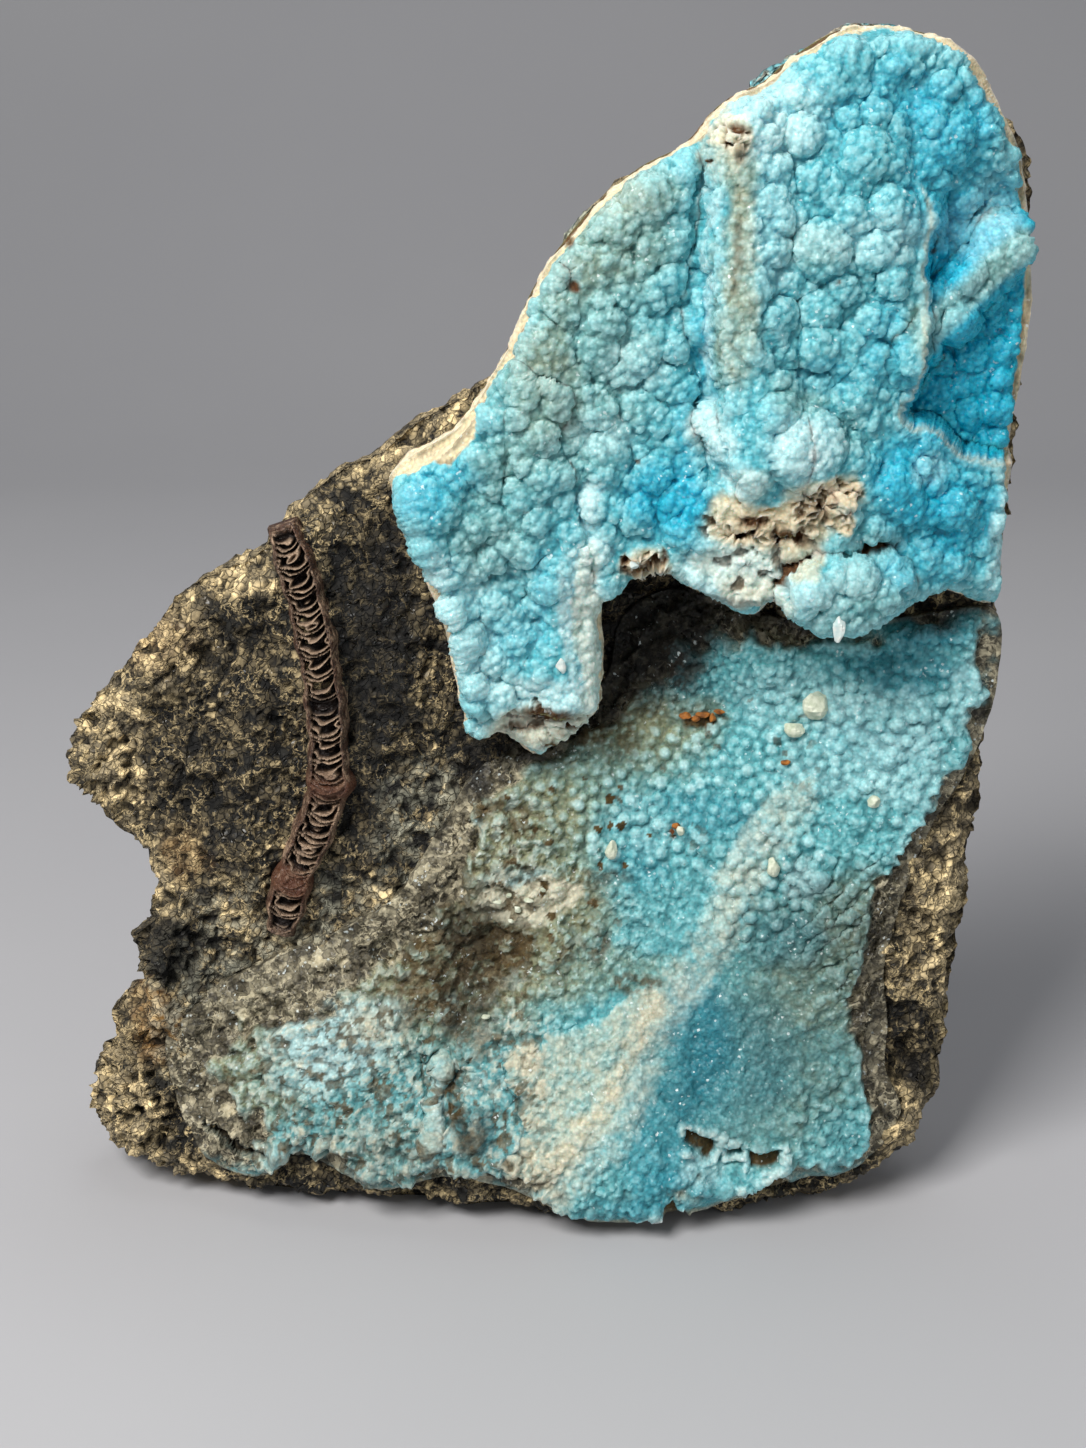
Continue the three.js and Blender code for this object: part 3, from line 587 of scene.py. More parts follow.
# %% The outlines of the two crusts
UPPER_EDGE = [
    [-24.5, 134], [-24.5, 130], [-21.5, 120.5], [-17.5, 110], [-14, 94], [-12.5, 86.5], [-7, 87],
    [-1.5, 82.5], [4.5, 86], [9, 90.5], [10, 102], [10, 111], [13, 113.5], [19, 117], [24.5, 114],
    [35, 109.5], [38, 112], [42.5, 108.5], [52, 108], [60, 110.5], [66, 113], [76.3, 110],
    [76.5, 122], [77.3, 133], [78.6, 150], [79, 168], [76.8, 181.5], [71, 193], [65, 200],
    [56.5, 202.6], [48, 202.6], [40, 198.6], [34, 194], [28.5, 191.5], [22.5, 185], [16, 181.8],
    [11.5, 178.5], [4.5, 171.5], [-2, 162], [-5.5, 153.5], [-10, 146.5], [-15, 140],
]
LOWER_EDGE = [
    [-10, 80], [-4, 84], [4, 87], [11, 93], [14, 104], [22, 109], [32, 107], [42, 105], [54.5, 105],
    [64.5, 107], [77, 108], [78.3, 96], [76.5, 87], [73, 79.5], [68, 71], [64, 62], [61.5, 53],
    [60, 44], [61, 36], [61, 26], [64, 18], [57, 8.5], [46, 7.5], [38.5, 6], [19, 3.2], [10, 2.8],
    [3, 4.5], [-6, 8], [-16.5, 9.5], [-30, 6], [-38, 9.5], [-43, 11.5], [-50, 7], [-60, 8.5],
    [-64, 14], [-68, 27], [-66, 34], [-50, 43.5], [-38.5, 49], [-26, 56.5], [-19, 67], [-15, 74],
]
TUCKED = 2  # millimetres that the backs of the crusts lie behind the rock's front
upper_line = smooth_line(UPPER_EDGE, closed=True, count=260)
lower_line = smooth_line(LOWER_EDGE, closed=True, count=240)

# %% Build the rock
PITTED = [
    [-66, 47, 9, 8, 1], [-74, 18, 10, 14, 1], [68, 45, 8, 30, 0.2], [-80, 80, 8, 9, 0.8],
    [-64, 100, 9, 8, 0.5],
]


def rock_grain(p, normal):
    """Chips of 4.5, 2.2 and 1.2 mm, slow waves, and pits where the rock is full of holes."""
    pitted = patches(PITTED, p)
    grain = 1.1 * noise(p, 8, 11)
    for pitch, seed, high in ((4.5, 21, 1.1), (2.2, 31, 0.95 + 0.57 * pitted),
                              (1.2, 41, 0.55 + 0.33 * pitted)):
        grain += high * (chips(p, pitch, seed)[0] - 0.5)
    return grain - 1.7 * pitted * balls(p + 50, normal, pitch=2.6, radius=1.1, seed=81)[0]


ROCK_CELL, ROCK_BACK_CELL = 0.62, 1.1  # millimetres across the squares of the two nets
rock_line = np.vstack([rock_sides, np.linspace(rock_sides[-1], rock_sides[0], 60)[1:-1]])
fore, base = sheet(rock_line, ROCK_CELL, rock_front)
aft, back = sheet(rock_line, ROCK_BACK_CELL, rock_back)
cover = np.maximum.reduce([depth_inside(line, fore["x"], fore["z"])
                           for line in (upper_line, lower_line)])
normal = vertex_normals(base, fore["triangles"])
back_normal = -vertex_normals(back, aft["triangles"])
grain = rock_grain(base, normal) * (1 - 0.85 * ease(cover / 2.5)) * ease(base[:, 2] / 1.5)
back_grain = rock_grain(back, back_normal) * ease(back[:, 2] / 1.5)
points, faces, layer = close_slab(fore, base + normal * grain[:, None], aft,
                                  back + back_normal * back_grain[:, None],
                                  wall_rows=5, roughness=0.6)
points[:, 2] = np.maximum(points[:, 2], 0)

# %% Where the rock is tan or ochre, where painted shade darkens it, where druse films it and where thin sheets cover it
SHEETS = [[38, 197, 13, 8, 1], [52, 203, 13, 4, 0.9], [17, 183, 8, 3, 0.5], [5, 172, 4, 6, 0.4]]
TAN = [
    [80, 150, 6, 45, 1], [72, 192, 9, 9, 1], [-65, 99, 7, 7, 0.6], [-77, 86, 7, 8, 0.8],
    [-75, 74, 5, 7, 0.7], [-66, 59, 5, 8, 0.6], [-77, 15, 7, 10, 1], [-68, 2, 10, 5, 0.8],
    [-48, 112, 8, 2, 0.7], [-24, 135, 8, 5, 0.7], [-29, 53, 7, 5, 0.4], [-46, 47, 7, 3, 0.5],
    [69, 53, 10, 13, 0.6], [66, 17, 7, 8, 0.6], [72, 69, 5, 8, 0.7], [-54, 53, 10, 7, 0.4],
]
OCHRE = [[-70, 32, 4, 7, 0.9], [-64, 62, 4, 5, 0.5], [-71, 101, 10, 5, 0.3], [-43, 120, 2, 2, 0.5]]
# Painted shade, most of all in the cave, under the tongue and along the vein.
SHADE = [
    [18, 102, 14, 10, 1], [-8, 84, 8, 6, 0.7], [-11.5, 79, 4, 5, 0.9], [-26, 105, 4, 22, 0.8],
    [-32, 102, 5, 20, 0.8], [-66, 46, 7, 6, 0.9], [68, 23, 3, 2, 1], [-55, 84, 12, 20, 0.3],
    [-31, 73, 4, 12, 0.5], [-27, 61, 2, 3, 0.6],
]
FILM = [
    [-40, 50, 22, 9, 0.7], [-20, 66, 9, 12, 0.8], [-60, 38, 12, 12, 0.6], [-51, 35, 15, 7, 0.7],
    [-62, 27, 8, 7, 0.5], [-21, 72, 7, 7, 0.7], [-36, 45, 10, 3, 0.6], [-56, 43, 8, 3, 0.5],
]

# %% Write the rock
edge_near = around(distance_to(rock_sides, points[:, 0], points[:, 2]), 5)
front_side = ease((6 - points[:, 1]) / 6)
matrix = new_piece(
    "rock_matrix", points, faces,
    tan=np.clip(patches(TAN, points) * front_side + 0.5 * edge_near + 0.25 * (layer > 0), 0, 1),
    ochre=patches(OCHRE, points), shade=patches(SHADE, points) * front_side,
    film=patches(FILM, points) * front_side,
    sheet=patches(SHEETS, points) * ease((14 - points[:, 1]) / 5),
    crease=crease_mask(points, faces, 4, 1.2))

# %% [markdown]
# ## The blue plate
# Hemimorphite grows in botryoids, clusters of round bubbles that are themselves covered with
# smaller ones, down to a sugary sparkle. The plate is drawn in the same order as it grew. First
# comes a smooth base with the big forms: a rib, a tongue, a sunken panel, a ledge. The big
# bubbles are listed one by one, and two layers of balls fill in between them. Then two layers of
# small balls grow on that swollen surface. The balls are seen along the surface's normal, so they
# stay round on steep walls and meet in sharp creases.

# %% The plate's smooth face and its lines
UPPER_FACE = [
    [-24, 131, -20], [-20, 118, -20], [-16, 105, -20], [-12.5, 90, -19], [-14, 126, -17.5],
    [-8, 117, -16], [-7, 104, -16], [-4, 95, -17], [-2, 125, -16.5], [-5, 135, -17.5],
    [-10, 142, -19.5], [-3, 160, -19], [3, 98, -20], [9, 104, -13], [9, 94, -13], [12, 114, -16],
    [7, 130, -18], [10, 142, -18], [4, 152, -18.5], [15, 150, -17], [18, 138, -16.5],
    [20, 126, -16.5], [24, 118, -17], [8, 168, -17.5], [14, 178, -16.5], [20, 176, -15],
    [22, 164, -14.5], [22, 148, -14.5], [24, 184, -14.5], [30, 160, -18], [32, 188, -15],
    [40, 190, -16], [44, 180, -18.5], [42, 165, -18], [50, 170, -18.5], [56, 160, -19],
    [50, 150, -18.5], [40, 150, -19], [52, 190, -15], [45, 199, -11], [57, 197, -10],
    [66, 190, -11], [62, 182, -16], [42, 139, -22], [52, 134, -20], [60, 130, -18.5],
    [66, 150, -16], [68, 165, -16], [73, 178, -12], [68, 122, -16.5], [60, 122, -18],
    [73, 130, -13], [74, 112, -13], [34, 128, -22], [45, 126, -22.5], [37, 119, -21],
    [31, 113, -18], [28, 121, -19], [48, 114, -17], [64, 114, -15],
]
PANEL_STEP = [
    [57, 194], [58.5, 186], [58.5, 180.5], [60, 175], [59.5, 166.5], [60, 162], [59.5, 155.5],
    [59, 148.5], [57, 145.5], [56.8, 143.2], [59, 141], [62.5, 140.5], [65, 138.5], [68, 136],
    [73, 134.5], [82, 134],
]
LUMP_EDGE = [
    [39.5, 117.5], [46.5, 120.5], [57, 121], [60, 117], [58.5, 113], [53, 108.5], [45.5, 108.5],
    [41, 112],
]
RIB_CREST = [[27, 190], [28.5, 184], [29, 175], [29.5, 166], [30.5, 157], [31.5, 147], [32, 138]]
RIB_TOE = [[26.5, 143], [28, 139.5], [31, 136.5], [35, 134.5]]
TONGUE_LIP = [[7, 129], [5.5, 123], [4, 116], [3, 110], [3, 103], [3.5, 95]]
PANEL_BAND = [[59, 153], [64.5, 159.5], [70, 165], [76, 170]]
PLATE_STEP = [
    [-4.5, 151.5], [-2, 149.5], [3, 147], [2.5, 143.5], [0.5, 141], [2.5, 136], [4.5, 129.5],
    [6, 123],
]
CREVICE = [[38.5, 116], [40, 118.6], [44.5, 121.6], [51, 122.2], [57, 122]]
RIB_GROOVE = [[25.5, 184], [24, 172], [22.5, 160], [24.5, 152], [25.5, 142], [28, 133]]
panel_line = smooth_line(PANEL_STEP, closed=False, count=120)
lump_line = smooth_line(LUMP_EDGE, closed=True, count=50)

# %% Ridges and dark holes
HOLES = [  # x, z, half width, half height, depth
    [-4.5, 88.6, 2.6, 0.8, 2], [3.5, 89.2, 2.2, 0.9, 2], [0.5, 85.9, 1.8, 1.0, 1.6],
    [32.5, 124.6, 3.4, 1.3, 3.5], [39.5, 124.4, 2.6, 1.1, 2.5], [45, 129.6, 1.3, 1.0, 3],
    [41.8, 131.6, 1.0, 0.9, 2.5], [46.7, 131.8, 0.9, 1.0, 2.5], [48.8, 129, 0.9, 0.8, 2.5],
    [33.5, 119.6, 1.2, 0.7, 2], [15.8, 119.2, 1.1, 0.9, 2.5], [18.6, 117.6, 0.9, 0.7, 2],
    [28.8, 186, 0.8, 0.6, 1.5], [26.6, 183.5, 0.5, 0.6, 1.2], [4.2, 166, 0.9, 1.6, 1.5],
]


def ridge(line, x, z, left, flat, right, rise):
    """A wall along an open line: up over `left`, level for `flat`, down over `right`."""
    across = off_line(smooth_line(line, closed=False, count=40), x, z)
    return rise * ease((across + right + flat) / right) * ease((flat + left - across) / left)


def hollows(x, z):
    """Dark holes, each 1 - d^2 of an oval, and the crevice over the pale lump."""
    deep = 4.5 * around(distance_to(CREVICE, x, z), 1.3, 1.4)
    for cx, cz, rx, rz, most in HOLES:
        near = np.minimum(((x - cx) / rx)**2 + ((z - cz) / rz)**2, 1)
        deep = np.maximum(deep, most * (1 - near)**0.7)
    return deep

# %% The plate's front and back
FREE_THICKNESS = 9
RIM_DROP, PANEL_DEPTH, BREAK_DEPTH, LUMP_RISE, STEP_RISE, DISH_DEPTH = 4, 7, 3.5, 5.5, 1.6, 2.6
THINNEST = 1.5


def plate_face(x, z):
    """The plate's own smooth face."""
    return blend(UPPER_FACE, 6.5, x, z)


def upper_back(x, z):
    """Where the plate hangs free it has its own thickness; elsewhere it reaches into the rock."""
    return np.minimum(rock_front(x, z) + TUCKED, plate_face(x, z) + FREE_THICKNESS)


def upper_base(x, z, depth):
    """The smooth face, then what lies behind it (rim, panel, break) and what stands out of it."""
    rim = RIM_DROP * (1 - ease(depth / 2.8))
    into_panel = off_line(panel_line, x, z)
    panel = PANEL_DEPTH * ease(into_panel / (1.6 + 4 * ease((z - 166) / 18)))
    panel = (panel - 0.35 * around(into_panel + 0.3, 0.6)) * ease((190 - z) / 16)
    broken = np.where(x < 11, BREAK_DEPTH * ease((93.5 - z) / 2), 0)
    lump = LUMP_RISE * np.sqrt(ease(depth_inside(lump_line, x, z) / 3.5))
    groove = ridge(RIB_GROOVE, x, z, left=2.8, flat=0.3, right=2.6, rise=1.7)
    step = STEP_RISE * ease(1 - off_line(PLATE_STEP, x, z) / 0.8) * ease((160 - z) / 8)
    step *= ease((x + 6) / 3) * ease((16 - distance_to(PLATE_STEP, x, z)) / 12)
    ribs = np.maximum.reduce([
        ridge(RIB_CREST, x, z, left=8.5, flat=1.6, right=2.2, rise=5.6),
        ridge(RIB_TOE, x, z, left=3, flat=0.4, right=1.4, rise=4),
        ridge(TONGUE_LIP, x, z, left=3, flat=0.8, right=4, rise=1.2) * ease((128 - z) / 14),
        ridge(PANEL_BAND, x, z, left=3.5, flat=1.2, right=3.5, rise=5)])
    dish = DISH_DEPTH * ease(depth / 6) * ease((124 - z) / 12) * ease((3 - x) / 6)
    face = (plate_face(x, z) + rim + panel + broken + groove + dish + hollows(x, z) - lump
            - step - ribs * ease(depth / 4))
    return np.minimum(face, upper_back(x, z) - THINNEST)

# %% The big bubbles
UPPER_BUBBLES = [  # x, z, radius
    [43.5, 170, 4.8], [43.5, 155, 3.9], [43.5, 160.5, 3.4], [54.5, 196.5, 2.9], [51.5, 190, 2.6],
    [47.5, 189.5, 1.9], [56, 188, 2.9], [50, 184, 4.2], [54, 183, 2.9], [42, 180.5, 2.6],
    [63.5, 185, 3.4], [62.5, 194, 2.4], [52, 170, 3.2], [52, 159, 2.6], [67, 157.5, 3.5],
    [64.5, 145.5, 3.2], [65.5, 141, 2.4], [42, 139, 6.4], [-18.5, 129, 5], [-19.5, 122.5, 3.8],
    [-14, 123, 2.4], [-8, 126.5, 2.7], [0.5, 154, 4.5], [8.5, 154, 3.4], [9, 159.5, 2.4],
    [9, 144.5, 3.2], [15.5, 144.5, 3.2], [12, 173, 3.2], [16.5, 177.5, 4], [15.5, 162, 3.2],
    [10, 138, 3.2], [18, 134, 3.2], [23.5, 141.5, 3], [15, 127, 2.9], [21.5, 129.5, 2.4],
    [8, 129, 2.8], [8.5, 121, 2.6], [-8, 111.5, 3.4], [-3.8, 105, 3.5], [0.5, 115, 2.8],
    [-11.4, 125.6, 2.7], [-15.6, 117, 2.6], [-8.8, 132, 2.4], [-8.6, 119.6, 2.4], [-12.6, 105.6, 3],
    [-8.6, 101.6, 2.7], [-1.4, 99.6, 3], [-11.8, 97.4, 2.2], [-7.4, 95, 2.6], [-1.6, 111, 2.2],
    [-12.4, 111, 2.2], [-2.6, 121, 2.4], [44, 116.4, 3], [48, 113.6, 2.8], [51.4, 117.4, 3],
    [55, 115, 2.7], [57.4, 112.6, 2.2], [50.6, 110.6, 2.6], [46, 110.6, 2.2], [54, 111, 2],
    [42.4, 113.2, 2.2], [41.6, 118.8, 1.8], [47.4, 118.6, 2.2], [-10, 136, 3.6], [-15, 133, 2.8],
    [-6, 140, 3], [-4, 131, 3], [-12, 118, 2.6], [2, 146, 2.6], [5, 150, 2.4], [3, 161, 2.6],
    [8, 167, 3.4], [12, 166, 2.8], [18, 156, 2.8], [19, 149, 3], [14, 151, 2.4], [20, 165, 2.6],
    [17, 170, 3], [37, 160, 2.8], [39, 165, 2.6], [47, 164, 2.6], [48, 175, 3], [54, 176, 3.4],
    [55, 165, 2.6], [53, 153, 2.8], [36, 170, 2.4], [40, 187, 3.2], [36, 182, 2.6], [45, 195, 3.2],
    [57, 132, 4], [67, 128, 3.6], [49, 137, 3], [37, 145, 3.2], [50, 147, 2.8], [67, 177, 3.2],
    [72, 172, 3.4], [70, 152, 3], [61, 148, 2.6], [71, 134, 2.8],
]


def big_bubbles(x, z):
    """The listed bubbles, as caps: 0.7 x the square root of r^2 - d^2."""
    best = np.zeros_like(x)
    for cx, cz, r in UPPER_BUBBLES:
        best = np.maximum(best, r**2 - (x - cx)**2 - (z - cz)**2)
    return 0.7 * np.sqrt(best)

# %% Where the plate is broken, where its rim is wide and where its bubbles are small
BROKEN = [
    [32, 126.5, 7, 4, 1], [40, 126, 7, 4, 1], [34, 118, 8, 5, 0.9], [17, 119, 5, 3, 1],
    [0, 90.5, 9, 3.5, 1], [29, 188, 2.4, 3.4, 0.6],
]
CORAL = [
    [45, 131.5, 2.6, 2.8, 1], [48, 132.5, 2.8, 2, 1], [43.5, 128.5, 3.6, 2, 1],
    [47.5, 127.5, 2, 2, 0.9], [16.8, 119.2, 3.6, 2.2, 1], [35, 124, 5, 1.6, 0.5],
    [28.5, 186.5, 2.4, 2.6, 0.7],
]
WIDE_RIM = [
    [-17, 142, 9, 10, 1], [1, 165, 9, 13, 0.3], [77, 160, 5, 45, 0.3], [68, 192, 9, 9, 0.35],
    [-18, 108, 4, 22, 0.35],
]
FINE_BUBBLES = [[2, 155, 17, 24, 0.7], [20, 148, 6, 20, 0.6]]

PLATE_CELL, PLATE_BACK_CELL = 0.33, 1.4
fore = tile(upper_line, PLATE_CELL)
x, z, depth = fore["x"], fore["z"], fore["depth"]
base = places(x, upper_base(x, z, depth), z)
normal = soft_normals(base, fore["triangles"], 3)
calm = ease(depth / 3)
broken = patches(BROKEN, base, wobble=1.2, soft=0.5)
rim_width = 0.4 + 2.4 * patches(WIDE_RIM, base) + 0.8 * noise(base, 3, 91)
edge_band = 1 - ease((depth - rim_width) / 0.7)
straight = np.maximum.reduce([around(distance_to(line, x, z), 5, 1.3)
                              for line in (RIB_CREST, RIB_TOE, TONGUE_LIP)])
into_panel = off_line(panel_line, x, z)
lip = np.exp(-((into_panel + 0.6) / 1.8)**2)
lip_line = np.exp(-((into_panel - 0.1) / 0.3)**2) * ease((182 - z) / 6)

# %% The plate's bubbles, pores and broken honeycomb
placed = big_bubbles(x, z) * (1 - 0.6 * patches(FINE_BUBBLES, base, soft=1.2))
placed = (placed + 0.8 * ease(placed / 0.6)) * (1 - 0.9 * lip) * calm
large = balls(base, normal, pitch=7.5, radius=4.6, seed=101)[0]
large *= (1 - 0.8 * straight) * (1 - 0.9 * lip) * calm
middle = balls(base, normal, pitch=4.2, radius=2.35, seed=111)[0]
middle *= (1 - 0.55 * straight) * (1 - 0.7 * lip)
lumps = np.maximum(placed, 0.24 * large + 0.55 * middle * (0.3 + 0.7 * calm))
rough = 0.9 * chips(base, pitch=2.4, seed=141)[0] + 0.5 * chips(base, pitch=1.1, seed=151)[0]
streaks = noise(places(nearest_on_line(upper_line, x, z).along / 5, depth * 3, 0 * depth), 1.2, 92)
pores = broken * ease((noise(base, 1.9, 93, 2) - 0.28) / 0.2)
bent = base + 0.5 * places(*(noise(base, 1.5, 94 + k, 2) for k in range(3)))
coral = patches(CORAL, base, wobble=1.5, soft=0.4)
wall = honeycomb(bent, pitch=1.7, seed=97)
height = (lumps * (1 - 0.85 * edge_band) + 0.5 * streaks * edge_band) * (1 - broken)
height += broken * (rough + 0.6) - 1.1 * pores + coral * (1.8 * wall - 0.9)
swollen = base + normal * height[:, None]
normal = soft_normals(swollen, fore["triangles"], 2)
small = balls(swollen, normal, pitch=1.55, radius=0.78, seed=121, vary=0.5)[0]
sugar = balls(swollen, normal, pitch=0.95, radius=0.48, seed=131, vary=0.5)[0]
growth = (small * 0.6 + sugar * 0.25) * (0.3 + 0.7 * calm)
front = swollen + normal * (growth * (1 - 0.85 * edge_band) * (1 - broken))[:, None]
aft, back = sheet(upper_line, PLATE_BACK_CELL, upper_back)
points, faces, layer = close_slab(fore, front, aft, back, wall_rows=10, roughness=0.55)

# %% Where the plate is deep blue, pale, olive, cream or stained
SOFT_BLUE = [[63, 182, 8, 13, 0.45], [70, 190, 4, 5, 0.4]]
UPPER_DEEP = [
    [68, 150, 9, 12, 1], [-17, 140, 4, 4, 0.6], [-13, 134, 5, 3, 0.35], [-20, 130, 4, 4, 0.45],
    [0, 115, 2, 7, 0.3], [-4, 106, 6, 5, 0.2], [20, 131, 7, 6, 0.75], [24, 143, 3, 8, 0.35],
    [25, 154, 2, 5, 0.5], [59, 133, 7, 8, 0.75], [68, 128, 7, 7, 0.65], [64, 120, 10, 5, 0.4],
    [45, 150, 5, 3, 0.4], [54, 156, 4, 7, 0.35], [55, 194, 7, 5, 0.35], [64, 185, 4, 6, 0.15],
    [46, 190, 4, 4, 0.25], [33, 196, 4, 3, 0.5], [24, 126, 7, 5, 0.4],
]
UPPER_PALE = [
    [0, 89, 12, 5, 0.7], [30, 117, 8, 5, 0.9], [32, 125, 7, 5, 0.6], [8, 129, 3, 4, 0.9],
    [8, 121, 3, 3, 0.9], [8, 111, 3.5, 9, 0.9], [8, 97, 3.5, 8, 0.9], [-1, 96, 10, 3, 0.8],
    [-17, 108, 3, 14, 0.6], [37, 118, 6, 5, 0.7], [-11, 102, 4, 6, 0.45], [4, 109, 1, 10, 0.8],
    [9, 141, 6, 4, 0.4], [15, 152, 5, 4, 0.35], [26, 164, 1, 18, 0.7], [27, 141, 3, 5, 0.95],
    [32, 133, 3, 4, 0.7], [35, 190, 8, 7, 0.7], [41, 140, 6, 5, 0.8], [50, 172, 10, 4, 0.45],
    [68, 172, 7, 5, 0.3], [72, 177, 5, 5, 0.25], [-7, 112, 9, 13, 0.2], [36, 173, 5, 10, 0.35],
    [50, 117, 8, 3, 0.3], [44, 114, 5, 4, 0.25], [75, 123, 2, 10, 0.6], [15, 176, 5, 3, 0.25],
    [-12, 113, 5, 5, 0.25], [63, 135, 3, 3, 0.35],
]
UPPER_OLIVE = [
    [4, 154, 14, 22, 0.45], [12, 172, 10, 9, 0.55], [-6, 120, 8, 14, 0.15], [45, 160, 12, 18, 0.15],
    [12, 178, 4, 4, 0.85], [17, 179, 5, 4, 0.5], [0, 146, 6, 7, 0.4], [0, 154, 5, 5, 0.55],
    [4, 164, 5, 5, 0.35], [-7, 135, 6, 5, 0.35], [-9, 123, 7, 7, 0.3], [30, 182, 3, 7, 0.7],
    [30.5, 170, 2.6, 10, 0.75], [30, 157, 4, 8, 0.45], [61, 158, 4, 4, 0.65], [64, 166, 5, 4, 0.35],
    [43, 171, 5, 4, 0.3], [41, 148, 6, 3, 0.35], [49, 141, 4, 4, 0.25], [53, 126, 6, 6, 0.25],
    [6, 106, 1, 8, 0.4], [19, 117, 7, 3, 0.45], [28, 153, 2, 5, 0.4], [50, 114, 9, 6, 0.35],
]
UPPER_CREAM = [
    [32, 127, 6, 4, 0.8], [39, 126, 8, 4, 0.85], [42, 121, 4, 2, 0.6], [32, 119, 8, 5, 0.35],
    [35, 114.5, 6, 3, 0.35], [29, 188, 3, 4, 0.6], [17, 119, 4, 3, 0.8], [0, 88.5, 11, 4.5, 0.6],
    [8, 106, 2.5, 16, 0.4], [45, 131, 6, 4, 0.6], [27, 185, 3, 4, 0.35], [30, 164, 3, 20, 0.2],
    [33, 134, 4, 4, 0.2],
]
UPPER_STAIN = [
    [34, 127, 2, 1, 0.9], [39, 125, 2, 1, 0.9], [44, 129, 3, 3, 0.5], [1, 92, 5, 2, 0.9],
    [5, 164, 1, 1, 1], [4, 171, 1, 1, 0.9], [15, 136, 0.5, 0.5, 0.8], [16, 118, 2, 1, 0.9],
    [30, 169, 1, 7, 0.35], [30, 185, 1, 2, 0.6], [46, 165, 0.4, 0.4, 0.8], [62, 169, 0.5, 0.5, 0.8],
    [60, 152, 0.5, 0.5, 0.8], [32, 113, 7, 1, 0.5], [-4, 88.8, 4, 0.7, 0.8], [3, 90.5, 4, 0.6, 0.7],
    [5, 88, 3, 0.5, 0.6], [-1, 86.5, 3, 0.4, 0.5], [33, 125, 6, 2.5, 0.25], [40, 125, 5, 2, 0.25],
]

# %% Write the plate
def fit(values, fill, count):
    """Lengthens a list of numbers for the front sheet to all points of the slab."""
    return np.concatenate([values, np.full(count - len(values), fill)])


n = len(points)
in_panel = ease((off_line(panel_line, points[:, 0], points[:, 2]) + 0.1) / 1.2)
in_panel = np.maximum(in_panel * ease((187 - points[:, 2]) / 16), patches(SOFT_BLUE, points))
band = ridge(PANEL_BAND, points[:, 0], points[:, 2], left=3, flat=1.5, right=3, rise=1)
rim = np.maximum(fit(np.maximum(edge_band, 0.5 * lip_line), 1, n), ease(layer / 0.15))
holes = fit(ease(hollows(x, z) / 1.2) + 0.7 * pores + 0.55 * edge_band * ease(streaks * 2)
            + 0.7 * coral * (1 - wall), 0, n)
upper = new_piece(
    "blue_plate", points, faces,
    deep=np.minimum(
        patches(UPPER_DEEP, points) * (1 - 0.6 * band) + in_panel * (1 - 0.9 * band), 1),
    pale=np.maximum(patches(UPPER_PALE, points), 0.12 * in_panel * band),
    olive=np.maximum(patches(UPPER_OLIVE, points), 0.55 * in_panel * band),
    cream=np.maximum.reduce([patches(UPPER_CREAM, points, soft=0.6), rim, fit(coral, 0, n)]),
    stain=np.maximum.reduce([patches(UPPER_STAIN, points, wobble=0.5), np.clip(holes, 0, 1),
                             ease((layer - 0.55) / 0.3)]),
    crease=crease_mask(points, faces, 8, 0.9))

# %% [markdown]
# ## The drusy slope
# Below the plate the mineral is a thinner skin over the rock. It changes from place to place:
# tiny round beads like roe near the top, flat scales in the middle, smooth sugar at the foot. One
# height field carries them all, and soft listed patches say how much of each a place gets.
# Towards its border the skin sinks into the rock, so the two rough surfaces cut a ragged edge.

# %% The slope's forms
LOWER_LUMPS = [
    [38, 99, 7, 2.5], [-38, 31, 10, 2], [-11, 49, 10, -2.5], [8, 30, 11, 1.5], [32, 14, 5, -2.5],
    [-19, 25, 4, -2.5], [60, 92, 8, 1.5], [28, 70, 7, 1], [-28, 53, 4, 1.5], [48, 63, 3, 1.5],
]
BEADS = [
    [17, 70, 14, 10, 1], [30, 80, 13, 8, 1], [61, 92, 15, 9, 1], [48, 86, 12, 10, 1],
    [42, 66, 9, 9, 1], [3, 72, 10, 7, 0.9], [36, 56, 9, 8, 0.9], [-31, 48, 9, 8, 0.9],
    [-38, 33, 12, 7, 0.6], [-12, 20, 8, 8, 0.7], [60, 78, 9, 8, 0.8], [52, 20, 9, 9, 0.7],
]
SCALES = [
    [-4, 62, 14, 7, 0.9], [-38, 27, 16, 10, 0.7], [10, 52, 12, 6, 0.7], [-12, 42, 16, 12, 0.9],
    [50, 18, 10, 7, 0.4], [-44, 46, 14, 8, 0.8], [-24, 16, 16, 8, 0.5],
]
SMOOTH, QUIET = [[30, 30, 20, 20, 0.8]], [[34, 30, 26, 26, 1]]
PALE_STREAK = [
    [-4, 6], [3, 13], [10, 20], [15, 27], [18, 34], [22, 41], [28, 49], [32, 58], [36, 66],
    [43, 75],
]
CREAM_FLAG = [
    [-6, 32], [-1, 33.5], [7, 36], [13, 39], [17, 42], [24, 39], [22, 37], [17, 30], [12, 21],
    [5, 14], [-2, 10], [-7, 10], [-7, 14], [-3, 17], [-4, 24], [-6, 28],
]
CRACK = [[-60, 15.5], [-56, 13.5], [-53.5, 12], [-49, 11.8], [-45, 10.6]]
LIP = [[-18.5, 29.5], [-17, 31], [-17.5, 26], [-19, 23], [-18.5, 18.5], [-20, 16]]
FADED = [[-38, 52, 34, 24, 1], [-60, 25, 12, 20, 1], [16, 100, 16, 12, 0.8], [64, 42, 10, 26, 0.8]]
TERRACED = [[57, 50, 12, 16, 1]]
flag_line = smooth_line(CREAM_FLAG, closed=True, count=80)

